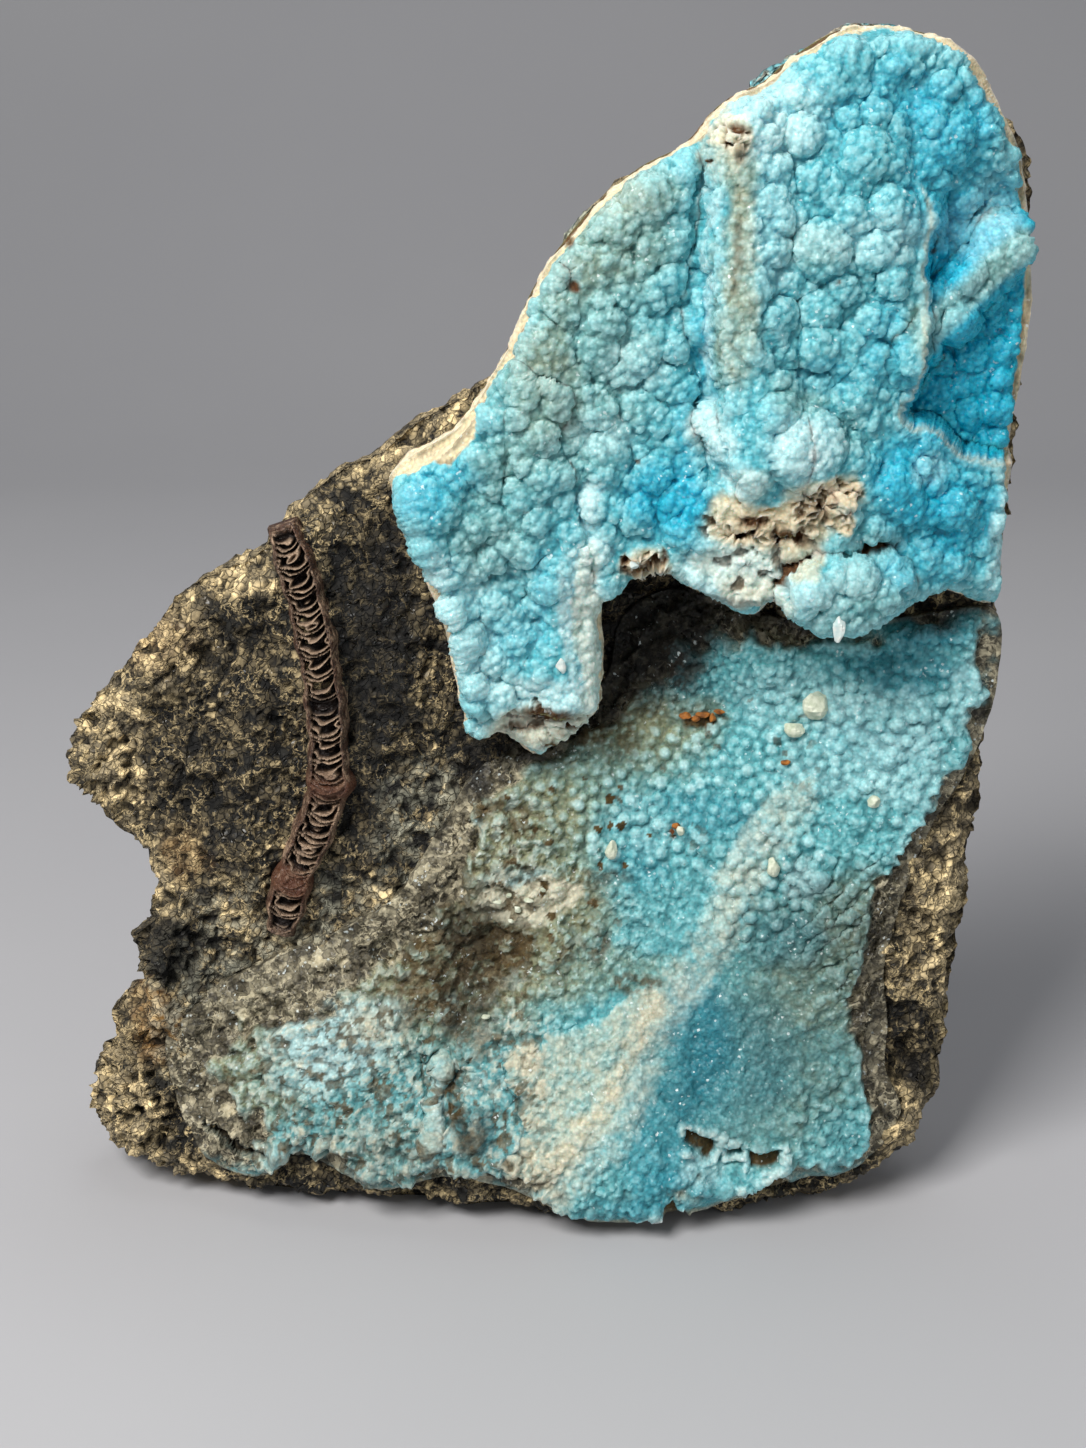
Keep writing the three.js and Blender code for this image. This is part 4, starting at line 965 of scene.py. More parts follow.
# %% Box-shaped pits
BOX_PITS = [  # x, z, half width, half height, turn in degrees
    [27.5, 17, 3.2, 2.1, -25], [33.5, 15, 1.8, 1.2, 10], [39, 13, 3.2, 1.9, 5],
    [39.5, 6.5, 4, 2.8, 15], [22.5, 4.5, 2, 2.8, 30],
]


def box_pits(x, z):
    """Rectangular holes with a thin raised rim, from the distance in the pit's own turned axes."""
    sunk, rim = np.zeros_like(x), np.zeros_like(x)
    for cx, cz, w, h, turn in BOX_PITS:
        c, s = np.cos(np.radians(turn)), np.sin(np.radians(turn))
        u, v = (x - cx) * c + (z - cz) * s, (z - cz) * c - (x - cx) * s
        inner = np.minimum(w - np.abs(u), h - np.abs(v))
        sunk = np.maximum(sunk, ease(inner / 0.7))
        rim = np.maximum(rim, around(inner + 0.4, 0.6, 1.2))
    return sunk, rim * (1 - sunk)

# %% The slope's streak, flag, crack and terraces
SLOPE_CELL, SLOPE_BACK_CELL = 0.345, 1.6
fore, flat = sheet(lower_line, SLOPE_CELL, rock_face)
x, z, depth = fore["x"], fore["z"], fore["depth"]
fade = 2.5 + 7 * patches(FADED, flat) - depth + 4 * noise(flat, 6, 64, 4)
fade = ease(0.5 + fade / 2.5) * ease((z - 6) / 5)
warp, warp_z = 0.9 * noise(flat, 3.5, 61), 0.9 * noise(flat, 3.5, 68)
flag_depth = depth_inside(flag_line, x + warp, z + warp_z)
flag_right = ease((x - 0.62 * z + 9) / 8)
beside = off_line(PALE_STREAK, x + warp, z)
streak = ease(1.4 - np.maximum(beside / 3.6, -beside / 6)) * (0.7 + 0.3 * ease(0.5 + warp))
crack = ease(1 - (distance_to(CRACK, x, z + 0.6 * warp) - 0.5) / 0.5)
lip = off_line(LIP, x, z)
pit, pit_rim = box_pits(x + warp, z + warp_z)
pit_rim *= ease(0.5 + 1.2 * noise(flat, 2.5, 69))
terrace = (z - 0.9 * x + 2 * warp) / 4.2
terrace = (terrace - np.floor(terrace)) * patches(TERRACED, flat)
skin = (3.6 - 3.4 * (1 - ease(depth / 4)) * (0.75 + 0.25 * noise(flat, 4, 62))
        + mounds(LOWER_LUMPS, x, z) + 0.9 * ease(flag_depth / 0.7) * (1 - flag_right)
        + 0.4 * streak + terrace - 3.2 * crack + 1.3 * (pit_rim - pit)
        + 2.0 * around(lip + 0.3, 1.1) * ease((31.5 - z) / 4) * ease((z - 14) / 3)
        - 1.8 * around(lip - 3.2, 3) * ease((31 - z) / 3) * ease((z - 17) / 3))
base = places(x, flat[:, 1] - skin, z)
normal = soft_normals(base, fore["triangles"], 2)

# %% The slope's beads, scales and sugar
beads, scales = patches(BEADS, base), patches(SCALES, base, seed=17)
calm = ease(depth / 2.5) * (1 - 0.8 * pit)
roe, bead_tone = balls(base, normal, pitch=2.1, radius=1.0, seed=201, vary=0.5)
clusters = balls(base, normal, pitch=5.2, radius=2.8, seed=211)[0]
grapes = balls(base, normal, pitch=3.1, radius=1.6, seed=221)[0]
small = balls(base, normal, pitch=1.35, radius=0.62, seed=231, vary=0.5)[0]
flake, flake_tone = chips(base, pitch=2.6, seed=241)
shard, shard_tone = chips(base, pitch=1.3, seed=251)
smooth_here = 1 - 0.7 * np.maximum(ease(flag_depth), patches(SMOOTH, base))
left_half = ease((8 - x) / 14) * ease((82 - z) / 10)
flag_flakes = 0.5 * ease(flag_depth / 0.8) * ease((12 - x + 0.3 * z) / 10)
quiet = patches(QUIET, flat)
growth = ((clusters * 0.28 + grapes * (0.3 + 0.4 * left_half)) * (1 - 0.5 * beads) * smooth_here
          + roe * beads + small * (1 - 0.75 * quiet) * (1 - beads) * (1 - 0.5 * scales)
          + (0.9 * flake + 0.6 * shard) * np.maximum(scales, flag_flakes)
          + 0.35 * noise(base, 6, 63) + 0.375 * quiet * noise(base, 1.8, 66))
growth = growth * (1 - 0.8 * fade) + fade * (rock_grain(base, normal) - 1.2)
front = base + normal * (growth * calm)[:, None]
aft, back = sheet(lower_line, SLOPE_BACK_CELL, lambda x, z: rock_front(x, z) + TUCKED)
points, faces, layer = close_slab(fore, front, aft, back, wall_rows=2, roughness=0.3)

# %% Where the slope is deep blue, pale, olive, stained or white, and where painted shade darkens it
LOWER_DEEP = [
    [27, 35, 6, 11, 0.55], [20, 20, 7, 9, 0.5], [34, 30, 11, 12, 0.35], [44, 51, 8, 5, 0.35],
    [22, 9, 10, 5, 0.5], [38, 68, 5, 5, 0.4], [28, 73, 8, 5, 0.45], [59, 85, 11, 4, 0.3],
    [62, 98, 12, 4, 0.5], [64, 106, 12, 4, 0.6], [17, 63, 6, 5, 0.35], [10, 6, 8, 3, 0.4],
    [-11, 19, 3, 4, 0.35], [55, 16, 5, 5, 0.2],
]
LOWER_PALE = [
    [43, 92, 11, 7, 0.35], [59, 90, 11, 6, 0.4], [35, 66, 3, 2, 0.6], [17, 70, 10, 6, 0.25],
    [28, 80, 10, 3, 0.15], [-4, 59, 7, 3, 0.7], [-38, 33, 11, 7, 0.85], [-29, 37, 6, 4, 0.6],
    [-44, 26, 7, 4, 0.4], [-28, 50, 4, 4, 0.6], [-18.8, 24, 1.4, 7, 0.9], [-17, 38, 2, 2, 0.5],
    [49, 80, 10, 5, 0.35], [63, 80, 8, 7, 0.4], [31, 61, 5, 3, 0.3], [17, 3, 3, 2, 0.6],
    [28, 13, 5, 3, 0.5], [65, 68, 7, 4, 0.25], [45, 61, 3, 3, 0.6], [-49, 13, 8, 2, 0.45],
    [73, 94, 3, 8, 0.4], [3, 24, 7, 7, 0.2],
]
LOWER_OLIVE = [
    [-30, 50, 34, 18, 0.85], [-5, 60, 16, 20, 0.7], [52, 42, 22, 24, 0.35], [-14, 8, 36, 9, 0.2],
    [10, 84, 18, 9, 0.6], [-56, 24, 12, 14, 0.5], [-1, 73, 11, 5, 0.6], [-11, 63, 10, 6, 0.7],
    [3, 59, 7, 4, 0.5], [17, 45, 10, 4, 0.45], [-20, 75, 5, 4, 0.6], [52, 42, 13, 8, 0.35],
    [57, 56, 9, 7, 0.4], [63, 38, 7, 10, 0.5], [13, 87, 7, 5, 0.5], [24, 87, 8, 5, 0.5],
    [1, 42, 8, 3, 0.35], [-2, 3, 7, 2, 0.7], [-43, 42, 15, 4, 0.5], [-57, 31, 10, 7, 0.6],
    [-31, 17, 11, 6, 0.25], [-52, 21, 10, 3, 0.5], [10, 54, 5, 3, 0.5], [39, 17, 10, 8, 0.25],
]
# The first two spots are painted shade in the cave and under the tongue; the rest are brown stains.
LOWER_STAIN = [
    [15, 101, 15, 10, 0.9], [4, 88, 12, 5, 0.8], [-14, 50, 13, 12, 0.7], [4, 54, 12, 8, 0.3],
    [-11, 48, 8, 5, 0.9], [-20, 56, 5, 4, 0.6], [-20, 40, 7, 4, 0.7], [-13, 35, 5, 3, 0.5],
    [-1, 47, 7, 4, 0.5], [-11, 73, 2, 3, 0.9], [10, 61, 5, 2, 0.5], [10, 49, 2, 2, 0.6],
    [17, 43, 5, 2, 0.6], [-15.4, 24.5, 2.2, 5, 0.85], [-13, 17, 3, 3, 0.7], [14, 83, 5, 3, 0.4],
    [28, 87, 3, 1, 1], [23, 69, 1, 1, 1], [45, 78, 2, 2, 0.4], [73, 77, 2, 3, 0.4],
    [-52, 13, 7, 1, 0.8], [1, 3, 7, 1, 0.3], [-8, 3, 5, 1, 0.3],
]
WHITE_BREAK = [[-4, 56.5, 7, 3, 1], [3, 59, 4, 2, 1], [-24, 55, 4, 2, 0.4], [-30, 36, 5, 3, 0.3]]
# Painted shade: in the cave, under the tongue and the plate's lower rim, and over broad parts of
# the slope.
DARK_HOLLOWS = [
    [20, 101, 10, 7, 1], [22, 105, 9, 8, 1], [-11.5, 79, 3, 4, 0.95], [-19, 68, 2, 4, 0.5],
    [52, 42, 18, 20, 0.3], [48, 54, 14, 10, 0.22], [32, 28, 14, 12, 0.3], [-31, 13, 12, 6, 0.25],
    [17, 103, 13, 8, 1], [14, 99, 13, 8, 1], [6, 92, 11, 6, 0.95], [12, 92, 8, 5, 0.5],
    [-3, 84, 10, 4, 0.8], [-14, 43, 5, 9, 0.5], [-12, 52, 8, 5, 0.5], [64, 108, 12, 3, 0.8],
    [45, 106, 12, 3, 0.9], [-12, 20, 4, 4, 0.5], [-54, 12, 8, 1.5, 0.5], [22, 91, 11, 4, 0.35],
]
SPECKLED = [[4, 68, 22, 18, 1], [38, 84, 12, 9, 0.6], [-16, 52, 22, 14, 1]]

# %% The slope's small light and dark bits
chip_tone = 0.5 * flake_tone + 0.5 * shard_tone
mottle = 0.75 + 0.25 * ease(0.5 + 1.6 * noise(base, 1.6, 65, 4))
flag = (ease(flag_depth / 0.8) * (1 - flag_right)
        + 0.8 * ease(flag_depth / 5 + 0.2) * flag_right)
crumbs = left_half * ease((noise(base, 2.4, 67, 4) - 0.12) / 0.25)
grainy = np.maximum(0.8 * left_half, 0.5 * scales)
light_bits = grainy * ease((chip_tone - 0.55) / 0.2)
dark_bits = 0.9 * grainy * ease((0.36 - chip_tone) / 0.1)
# Painted highlight on the tops of the tallest beads, and a paler tone on random beads.
light_beads = beads * (0.35 * ease((roe - 0.9) / 0.5) + 0.15 * ease((bead_tone - 0.6) / 0.3))
foot_edge = ease(1 - depth / 1.1) * ease((7 - z) / 3)
specks = ease((shard_tone - 0.95) / 0.02) * patches(SPECKLED, base)
crumble = 0.35 + 0.65 * ease((chip_tone - 0.4) / 0.1)
across, onward = 0.83 * x - 0.56 * z, 0.56 * x + 0.83 * z
strata = quiet * ease(0.5 + 1.6 * noise(places(across, onward / 6, 0 * x), 4, 70))

# %% Write the slope
n = len(points)
rim = np.maximum(fit(1 - ease((depth - 0.3) / 0.8), 1, n), ease(layer / 0.2))
crease = crease_mask(points, faces, 6, 0.8)
# In the left half: painted highlight as cream on the crowns, painted shade as stain in the creases.
outlined = fit(left_half, 0, n)
white_break = patches(WHITE_BREAK, points)
lower = new_piece(
    "drusy_slope", points, faces,
    deep=patches(LOWER_DEEP, points), olive=patches(LOWER_OLIVE, points),
    pale=np.maximum(patches(LOWER_PALE, points),
                    fit(np.maximum.reduce([0.45 * streak + 0.8 * pit_rim, light_beads,
                                           0.12 * strata, 0.7 * light_bits]), 0, n)),
    cream=np.clip(fit(0.6 * flag * mottle + 0.5 * mottle * streak + 0.3 * pit_rim + 0.6 * foot_edge
                      + 0.15 * crumbs + 0.4 * light_bits, 0, n) + 1.6 * white_break
                  + 0.3 * outlined * ease((0.34 - crease) / 0.2), 0, 1),
    stain=np.maximum.reduce([
        patches(LOWER_STAIN, points) * fit(crumble, 1, n) * (1 - white_break),
        fit(np.maximum.reduce([0.9 * pit, crack, dark_bits, specks]), 0.6, n),
        0.45 * outlined * ease((crease - 0.64) / 0.16)]),
    # Painted shade from the spots above, and along the crack.
    shade=np.maximum(patches(DARK_HOLLOWS, points), fit(0.9 * crack, 0, n)),
    fade=np.maximum.reduce([fit(fade * (1 - crack), 1, n), 0.6 * rim, fit(0.25 * grainy, 0, n)]),
    crease=crease)

# %% [markdown]
# ## The ribbed vein
# A vein of brown goethite runs down the bare rock like a zip: two raised walls with a channel
# between them, and the channel is crossed by some forty thin sagging lamellae. It is a profile
# carried along a path. Along the path a cosine lifts the lamellae, and their sag is a shift of
# that cosine with the square of the distance from the middle.

# %% The vein's surface
VEIN_ROUTE = [
    [-44.5, 122], [-42, 115], [-40.3, 108], [-39, 101.5], [-37.8, 92.5], [-37.3, 83.5], [-38.2, 74],
    [-41, 66.5], [-43.8, 60.5], [-46.8, 49.3],
]
VEIN_HALF, VEIN_HEIGHT, LAMELLA_PITCH = 3.7, 4.6, 1.45
KNOT_AT = 46  # millimetres along the route, where a knot covers the lamellae
VEIN_HOLES = ((31.5, 1.5), (1.8, 0.7), (-2.6, 1.2))  # place, from the end if below 0, and width


def vein_surface(rows, columns):
    """Rows along the route, columns across it. The section is a channel: walls at 0.65 to 1 of
    the half width, and between them a floor that the lamellae rise from."""
    route = smooth_line(VEIN_ROUTE, closed=False, count=rows - 1)
    ahead = unit(np.gradient(route, axis=0))
    side = np.stack([-ahead[:, 1], ahead[:, 0]], 1)
    run = np.linspace(0, np.linalg.norm(np.diff(route, axis=0), axis=1).sum(), rows)[:, None]
    end = np.minimum(run, run[-1] - run)
    u = np.linspace(-1, 1, columns)[None, :]
    girth = (0.72 + 0.28 * ease(end / 5)) * (1 + 0.1 * np.sin(run * 0.9 + 2) * np.sin(run * 0.37))
    knot = np.exp(-((run - KNOT_AT) / 2.6)**2)
    reach = VEIN_HALF * girth * (u + 0.35 * knot * np.clip(u, 0, 1))
    inner = 1 - ease((np.abs(u) - 0.58) / 0.14)
    phase = (run / LAMELLA_PITCH - 0.75 * (1 - (u / 0.6)**2) + 0.3 * np.sin(run * 1.7)
             + 0.18 * u * np.sin(run * 0.8) + 0.2 * np.sin(run * 3.1 + 4 * u))
    lamella = (0.5 + 0.5 * np.cos(2 * np.pi * phase))**3
    closed_part = np.maximum(knot, ease((run - 61) / 2) * ease((68 - run) / 2)) * np.ones_like(u)
    channel = inner * (1 - 0.85 * closed_part) * ease(end / 2)
    hole = sum(np.exp(-((run - (at if at > 0 else run[-1] + at)) / width)**2)
               for at, width in VEIN_HOLES)
    lamella_here = lamella * (1 - np.minimum(hole, 1))
    fall = channel * (1 - 0.82 * lamella_here) * 0.75
    dome = np.sqrt(np.maximum(1 - np.abs(u)**3.2, 0))
    height = VEIN_HEIGHT * girth * (1.45 * dome - fall - 0.45) * (0.55 + 0.45 * ease(end / 2.5))
    x = route[:, :1] + side[:, :1] * reach
    z = route[:, 1:] + side[:, 1:] * reach
    y = rock_face(x, z) - height
    return x, y, z, channel * (1 - lamella_here), channel * lamella, closed_part

# %% Close the vein
ROWS, COLUMNS, SUNK = 620, 40, 3
x, y, z, gap, crest, solid_part = vein_surface(ROWS, COLUMNS)
top = places(x, y, z)
top[:, 1] -= 0.22 * noise(top, 2.4, 71) + 0.2 * noise(top, 0.9, 75, 2)
under = places(*(part[:, ::-1] for part in (x, rock_face(x, z) + SUNK, z)))
ring = np.concatenate([top.reshape(ROWS, COLUMNS, 3), under.reshape(ROWS, COLUMNS, 3)], axis=1)
wrap = 2 * COLUMNS
k, m = np.meshgrid(np.arange(ROWS - 1), np.arange(wrap), indexing="ij")
a, b = (k * wrap + m).ravel(), (k * wrap + (m + 1) % wrap).ravel()
cap = np.arange(1, wrap - 1)
last = (ROWS - 1) * wrap
faces = np.vstack([np.stack(corners, 1) for corners in (
    [a, b, a + wrap], [b, b + wrap, a + wrap], [0 * cap, cap + 1, cap],
    [last + 0 * cap, last + cap, last + cap + 1])])


def both_sides(values, fill):
    """Mask numbers for the top of the vein, and one fill number for its hidden underside."""
    return np.concatenate([values, np.full_like(values, fill)], axis=1).ravel()


vein = new_piece("ribbed_vein_skin", ring.reshape(-1, 3), faces, gap=both_sides(gap, 0),
                 crest=both_sides(crest, 0), solid=both_sides(solid_part, 1))

# %% [markdown]
# ## Small crystals
# A few grains sit on the crusts: white and cream crystals, and crumbs of rust. Each grain is a
# ball cut by a few random planes. They are joined into one mesh for each finish, because the
# grains of a finish share their material and grew on the same crust.

# %% Grains
RINGS, ROUND, CUTS = 11, 16, 13  # rings of a ball, points on each, and planes that cut it


def grain_shape(place, size, seed):
    """A ball on a grid of two angles; its radius is the least of 1 and the distance to random
    planes, which cuts flat faces. The two poles are single points."""
    tall = np.linspace(0, np.pi, RINGS + 2)[1:-1]
    turn = np.linspace(0, 2 * np.pi, ROUND, endpoint=False)
    a, b = np.meshgrid(tall, turn, indexing="ij")
    ball = places(np.sin(a) * np.cos(b), np.sin(a) * np.sin(b), np.cos(a))
    ball = np.vstack([[0, 0, 1], ball, [0, 0, -1]])
    rng = np.random.default_rng(seed)
    planes = unit(rng.normal(size=(CUTS, 3)))
    cut = 0.87 - 0.325 * rng.random(CUTS)
    facing = np.maximum(ball @ planes.T, 1e-3)
    radius = np.minimum(1, (cut / facing).min(1))
    points = ball * radius[:, None] * np.asarray(size) + np.asarray(place)
    k, m = np.meshgrid(np.arange(RINGS - 1), np.arange(ROUND), indexing="ij")
    p, q = (1 + k * ROUND + m).ravel(), (1 + k * ROUND + (m + 1) % ROUND).ravel()
    m, last = np.arange(ROUND), len(ball) - 1
    following = (m + 1) % ROUND
    return points, np.vstack([np.stack(corners, 1) for corners in (
        [p, p + ROUND, q], [q, p + ROUND, q + ROUND], [0 * m, 1 + m, 1 + following],
        [last + 0 * m, last - ROUND + following, last - ROUND + m])])


def joined(shapes):
    """Several shapes as one list of points and one list of triangles."""
    starts = np.cumsum([0] + [len(points) for points, _ in shapes[:-1]])
    return (np.vstack([points for points, _ in shapes]),
            np.vstack([faces + start for (_, faces), start in zip(shapes, starts)]))


SEAT_WIDTH, SEAT_SHARE = 2.5, 12  # millimetres around the place, and the share in percent


def surface_y(piece, x, z):
    """How far forward a piece stands near a place: the y that only a small share of its points
    around the place pass."""
    co = np.zeros(len(piece.data.vertices) * 3, np.float32)
    piece.data.vertices.foreach_get("co", co)
    co = co.reshape(-1, 3) / MM
    near = np.hypot(co[:, 0] - x, co[:, 2] - z) < SEAT_WIDTH
    return float(np.percentile(co[near, 1], SEAT_SHARE))

# %% Place them
WHITE_GRAINS = [[48, 110.5, 1.3, 2.6], [3, 101.5, 1.0, 1.7], [15, 119, 0.8, 0.8]]
CREAM_GRAINS = [
    [47, 91.5, 2.3, 2.9], [43.5, 87, 2.0, 1.6], [57, 76, 1.5, 1.2], [24, 69.5, 1.0, 1.1],
    [40, 64, 1.6, 1.8], [12, 66, 1.3, 1.8], [-10, 38, 0.9, 0.5], [-4.5, 55.5, 0.8, 0.7],
    [-8, 56.6, 0.8, 0.6], [-6, 58, 0.7, 0.5], [-2.5, 57.5, 0.9, 0.5], [0, 59.4, 0.6, 0.5],
    [2.6, 59.6, 0.8, 0.5], [-5.6, 53.4, 0.6, 0.5],
]
RUST_GRAINS = [
    [25, 88, 1.3, 0.6], [26.6, 87.4, 0.9, 0.8], [28, 88.3, 1.4, 0.6], [29.6, 87.9, 0.8, 0.9],
    [30.8, 88.9, 1.1, 0.5], [23.3, 70.2, 0.9, 0.7], [22.5, 69.2, 0.5, 0.6], [42, 81.5, 0.9, 0.6],
]


def grains(name, on, spots, first_seed):
    """A mesh with a grain on a crust at each spot [x, z, half width, half height]."""
    shapes = [grain_shape((x, surface_y(on, x, z) + 0.1, z), (w, 0.9 * w, h), first_seed + k)
              for k, (x, z, w, h) in enumerate(spots)]
    return new_piece(name, *joined(shapes), smooth=False)


white_grains = grains("white_grains", upper, WHITE_GRAINS, 400)
cream_grains = grains("cream_grains", lower, CREAM_GRAINS, 420)
rust_grains = grains("rust_grains", lower, RUST_GRAINS, 440)

# %% [markdown]
# ## Node helpers
# Materials are drawn in code too. A short helper adds a node, sets its values and links its
# inputs, and a few more give common nodes a plain word each. Colours are written as the eye sees
# them, from 0 to 255, and turned into the linear numbers that a render works with.

# %% Short words for nodes
def rgb(red, green, blue):
    """A screen colour from 0 to 255 as a linear colour."""
    c = np.array([red, green, blue]) / 255
    return (*np.where(c <= 0.04045, c / 12.92, ((c + 0.055) / 1.055)**2.4), 1)


def feed(tree, node, inputs):
    """Links each input of a node, by name or number, or sets it when it gets a plain value."""
    for key, value in inputs.items():
        if isinstance(value, bpy.types.NodeSocket):
            tree.links.new(value, node.inputs[key])
        else:
            node.inputs[key].default_value = value


def put(tree, kind, inputs, **settings):
    """Adds a node, sets its properties and feeds its inputs."""
    node = tree.nodes.new(kind)
    for key, value in settings.items():
        setattr(node, key, value)
    feed(tree, node, inputs)
    return node


def mix(tree, factor, a, b, kind="MIX"):
    """A mix of two colours; gives the output."""
    return put(tree, "ShaderNodeMix", {0: factor, 6: a, 7: b}, data_type="RGBA",
               blend_type=kind, clamp_factor=True).outputs[2]


def sums(tree, kind, a, b=0.5, c=0.5, clamp=False):
    """One step of arithmetic; gives the output."""
    return put(tree, "ShaderNodeMath", {0: a, 1: b, 2: c}, operation=kind,
               use_clamp=clamp).outputs[0]


def multiply(tree, a, b):
    """The product of two numbers."""
    return sums(tree, "MULTIPLY", a, b)


def vector_sums(tree, kind, inputs):
    """One step of arithmetic on vectors or colours; gives the output."""
    return put(tree, "ShaderNodeVectorMath", inputs, operation=kind).outputs[0]


def scaled(tree, vector, by):
    """A vector or colour times a number."""
    return vector_sums(tree, "SCALE", {0: vector, "Scale": by})


def spread(tree, value, low, high, to_low=0.0, to_high=1.0):
    """Stretches a range of numbers to another, and holds it at the ends."""
    return put(tree, "ShaderNodeMapRange", {0: value, 1: low, 2: high, 3: to_low, 4: to_high},
               clamp=True).outputs[0]


def mask(tree, label):
    """One of the numbers that the mesh holds for each of its points."""
    return put(tree, "ShaderNodeAttribute", {}, attribute_name=label).outputs["Fac"]


def place(tree):
    """Object coordinates: metres in the specimen's own frame."""
    return tree.nodes.new("ShaderNodeTexCoord").outputs["Object"]


def cloud(tree, size, detail=4, where=None):
    """Noise whose blotches are about `size` metres wide."""
    return put(tree, "ShaderNodeTexNoise", {"Vector": where or place(tree), "Scale": 1 / size,
                                            "Detail": detail, "Roughness": 0.55}).outputs["Fac"]


def cells(tree, where, scale, **settings):
    """A pattern of cells, each with a random colour and the distance from its middle."""
    return put(tree, "ShaderNodeTexVoronoi", {"Vector": where, "Scale": scale}, **settings).outputs


def relief(tree, height, strength, distance, normal=None):
    """Fine relief in the shading, at the most `distance` metres high."""
    inputs = {"Height": height, "Strength": strength, "Distance": distance}
    if normal:
        inputs["Normal"] = normal
    return put(tree, "ShaderNodeBump", inputs).outputs[0]

# %% Node groups
def new_group(name, inputs, outputs):
    """A node group with named sockets, given as (name, kind, value) and (name, kind)."""
    group = bpy.data.node_groups.new(name, "ShaderNodeTree")
    for label, kind, value in inputs:
        group.interface.new_socket(label, in_out="INPUT", socket_type=kind).default_value = value
    for label, kind in outputs:
        group.interface.new_socket(label, in_out="OUTPUT", socket_type=kind)
    return group, group.nodes.new("NodeGroupInput").outputs, group.nodes.new("NodeGroupOutput")


def use(tree, group, inputs):
    """Places a node group in a material."""
    return put(tree, "ShaderNodeGroup", inputs, node_tree=group).outputs

# %% [markdown]
# ## Shared effects
# Three effects come back in several finishes, so each is a node group. **Facets** turns a cellular
# pattern into tiny tilted faces, which is what makes a druse glitter. **Mineral tones** lays the
# colours of the crusts over each other by the masks of the mesh, and paints a highlight on the
# crowns and shade in the creases. **Grit** mixes a dark and a light colour in curled grains, as
# broken ironstone shows.

# %% Facets
FLOAT, COLOR, VECTOR = "NodeSocketFloat", "NodeSocketColor", "NodeSocketVector"

facets, given, result = new_group(
    "Facets", [("Size", FLOAT, 0.0006), ("Tilt", FLOAT, 0.5)],
    [("Normal", VECTOR), ("Random", FLOAT)])
chance_color = cells(facets, place(facets), sums(facets, "DIVIDE", 1.0, given["Size"]))["Color"]
shift = vector_sums(facets, "SUBTRACT", {0: chance_color, 1: (0.5, 0.5, 0.5)})
outward = facets.nodes.new("ShaderNodeNewGeometry").outputs["Normal"]
total = vector_sums(facets, "ADD", {0: outward, 1: scaled(facets, shift, given["Tilt"])})
split = put(facets, "ShaderNodeSeparateColor", {0: chance_color}).outputs
feed(facets, result, {"Normal": vector_sums(facets, "NORMALIZE", {0: total}), "Random": split[1]})

# %% Mineral tones
tones, given, result = new_group(
    "Mineral tones",
    [("Base", COLOR, (1, 1, 1, 1)), ("Deep color", COLOR, (0, 0, 1, 1)),
     ("Pale color", COLOR, (1, 1, 1, 1)), ("Olive color", COLOR, (0, 0, 0, 1)),
     ("Cream color", COLOR, (1, 1, 1, 1)), ("Stain color", COLOR, (0, 0, 0, 1)),
     ("Deep", FLOAT, 0.0), ("Pale", FLOAT, 0.0), ("Olive", FLOAT, 0.0), ("Cream", FLOAT, 0.0),
     ("Stain", FLOAT, 0.0), ("Crease", FLOAT, 0.5), ("Crisp", FLOAT, 0.5)],
    [("Color", COLOR)])
broad, fine = cloud(tones, 0.0035, 5), cloud(tones, 0.0011, 3)
mottles = sums(tones, "SUBTRACT", sums(tones, "ADD", broad, fine), 1.0)
swing = multiply(tones, mottles, given["Crisp"])
edge = multiply(tones, given["Crisp"], 0.3)
top_edge = sums(tones, "SUBTRACT", 1.0, edge)


def covered(label):
    """How much a colour covers: its mask, pushed up and down by mottles, with firmer borders."""
    reach = sums(tones, "MULTIPLY", given[label], 4.0, clamp=True)
    pushed = sums(tones, "MULTIPLY_ADD", reach, swing, given[label])
    return spread(tones, pushed, edge, top_edge)


color = given["Base"]
for label in ("Olive", "Deep", "Pale"):
    color = mix(tones, covered(label), color, given[label + " color"])
# Painted highlight: crowns, where the crease mask is low, are mixed towards the pale colour.
# Painted shade: creases are darkened towards the deep colour.
crown = spread(tones, given["Crease"], 0.5, 0.15, 0.0, 0.32)
crown = multiply(tones, crown, spread(tones, given["Deep"], 0.0, 0.8, 1.0, 0.15))
color = mix(tones, crown, color, given["Pale color"])
valley = spread(tones, given["Crease"], 0.52, 0.95, 0.0, 0.32)
color = mix(tones, valley, color, mix(tones, 0.8, color, given["Deep color"], "MULTIPLY"))
for label in ("Cream", "Stain"):
    color = mix(tones, covered(label), color, given[label + " color"])
feed(tones, result, {"Color": color})

# %% Grit
grit, given, result = new_group(
    "Grit",
    [("Dark", COLOR, (0, 0, 0, 1)), ("Light", COLOR, (1, 1, 1, 1)), ("Amount", FLOAT, 0.4),
     ("Size", FLOAT, 0.0015)],
    [("Color", COLOR), ("Height", FLOAT)])
wander = put(grit, "ShaderNodeTexNoise", {"Vector": place(grit), "Scale": 500.0, "Detail": 2.0})
moved = vector_sums(grit, "ADD", {0: place(grit), 1: scaled(grit, wander.outputs["Color"], 0.0016)})
scale = sums(grit, "DIVIDE", 1.0, given["Size"])
split = put(grit, "ShaderNodeSeparateColor", {0: cells(grit, moved, scale)["Color"]}).outputs
chosen = spread(grit, sums(grit, "SUBTRACT", given["Amount"], split[0]), -0.1, 0.15)
bend = sums(grit, "ABSOLUTE", sums(grit, "SUBTRACT", cloud(grit, 0.0021, 3, moved), 0.5))
curl = spread(grit, bend, 0.0, 0.05, 1.0, 0.0)
patchy = spread(grit, cloud(grit, 0.0032), 0.45, 0.6)
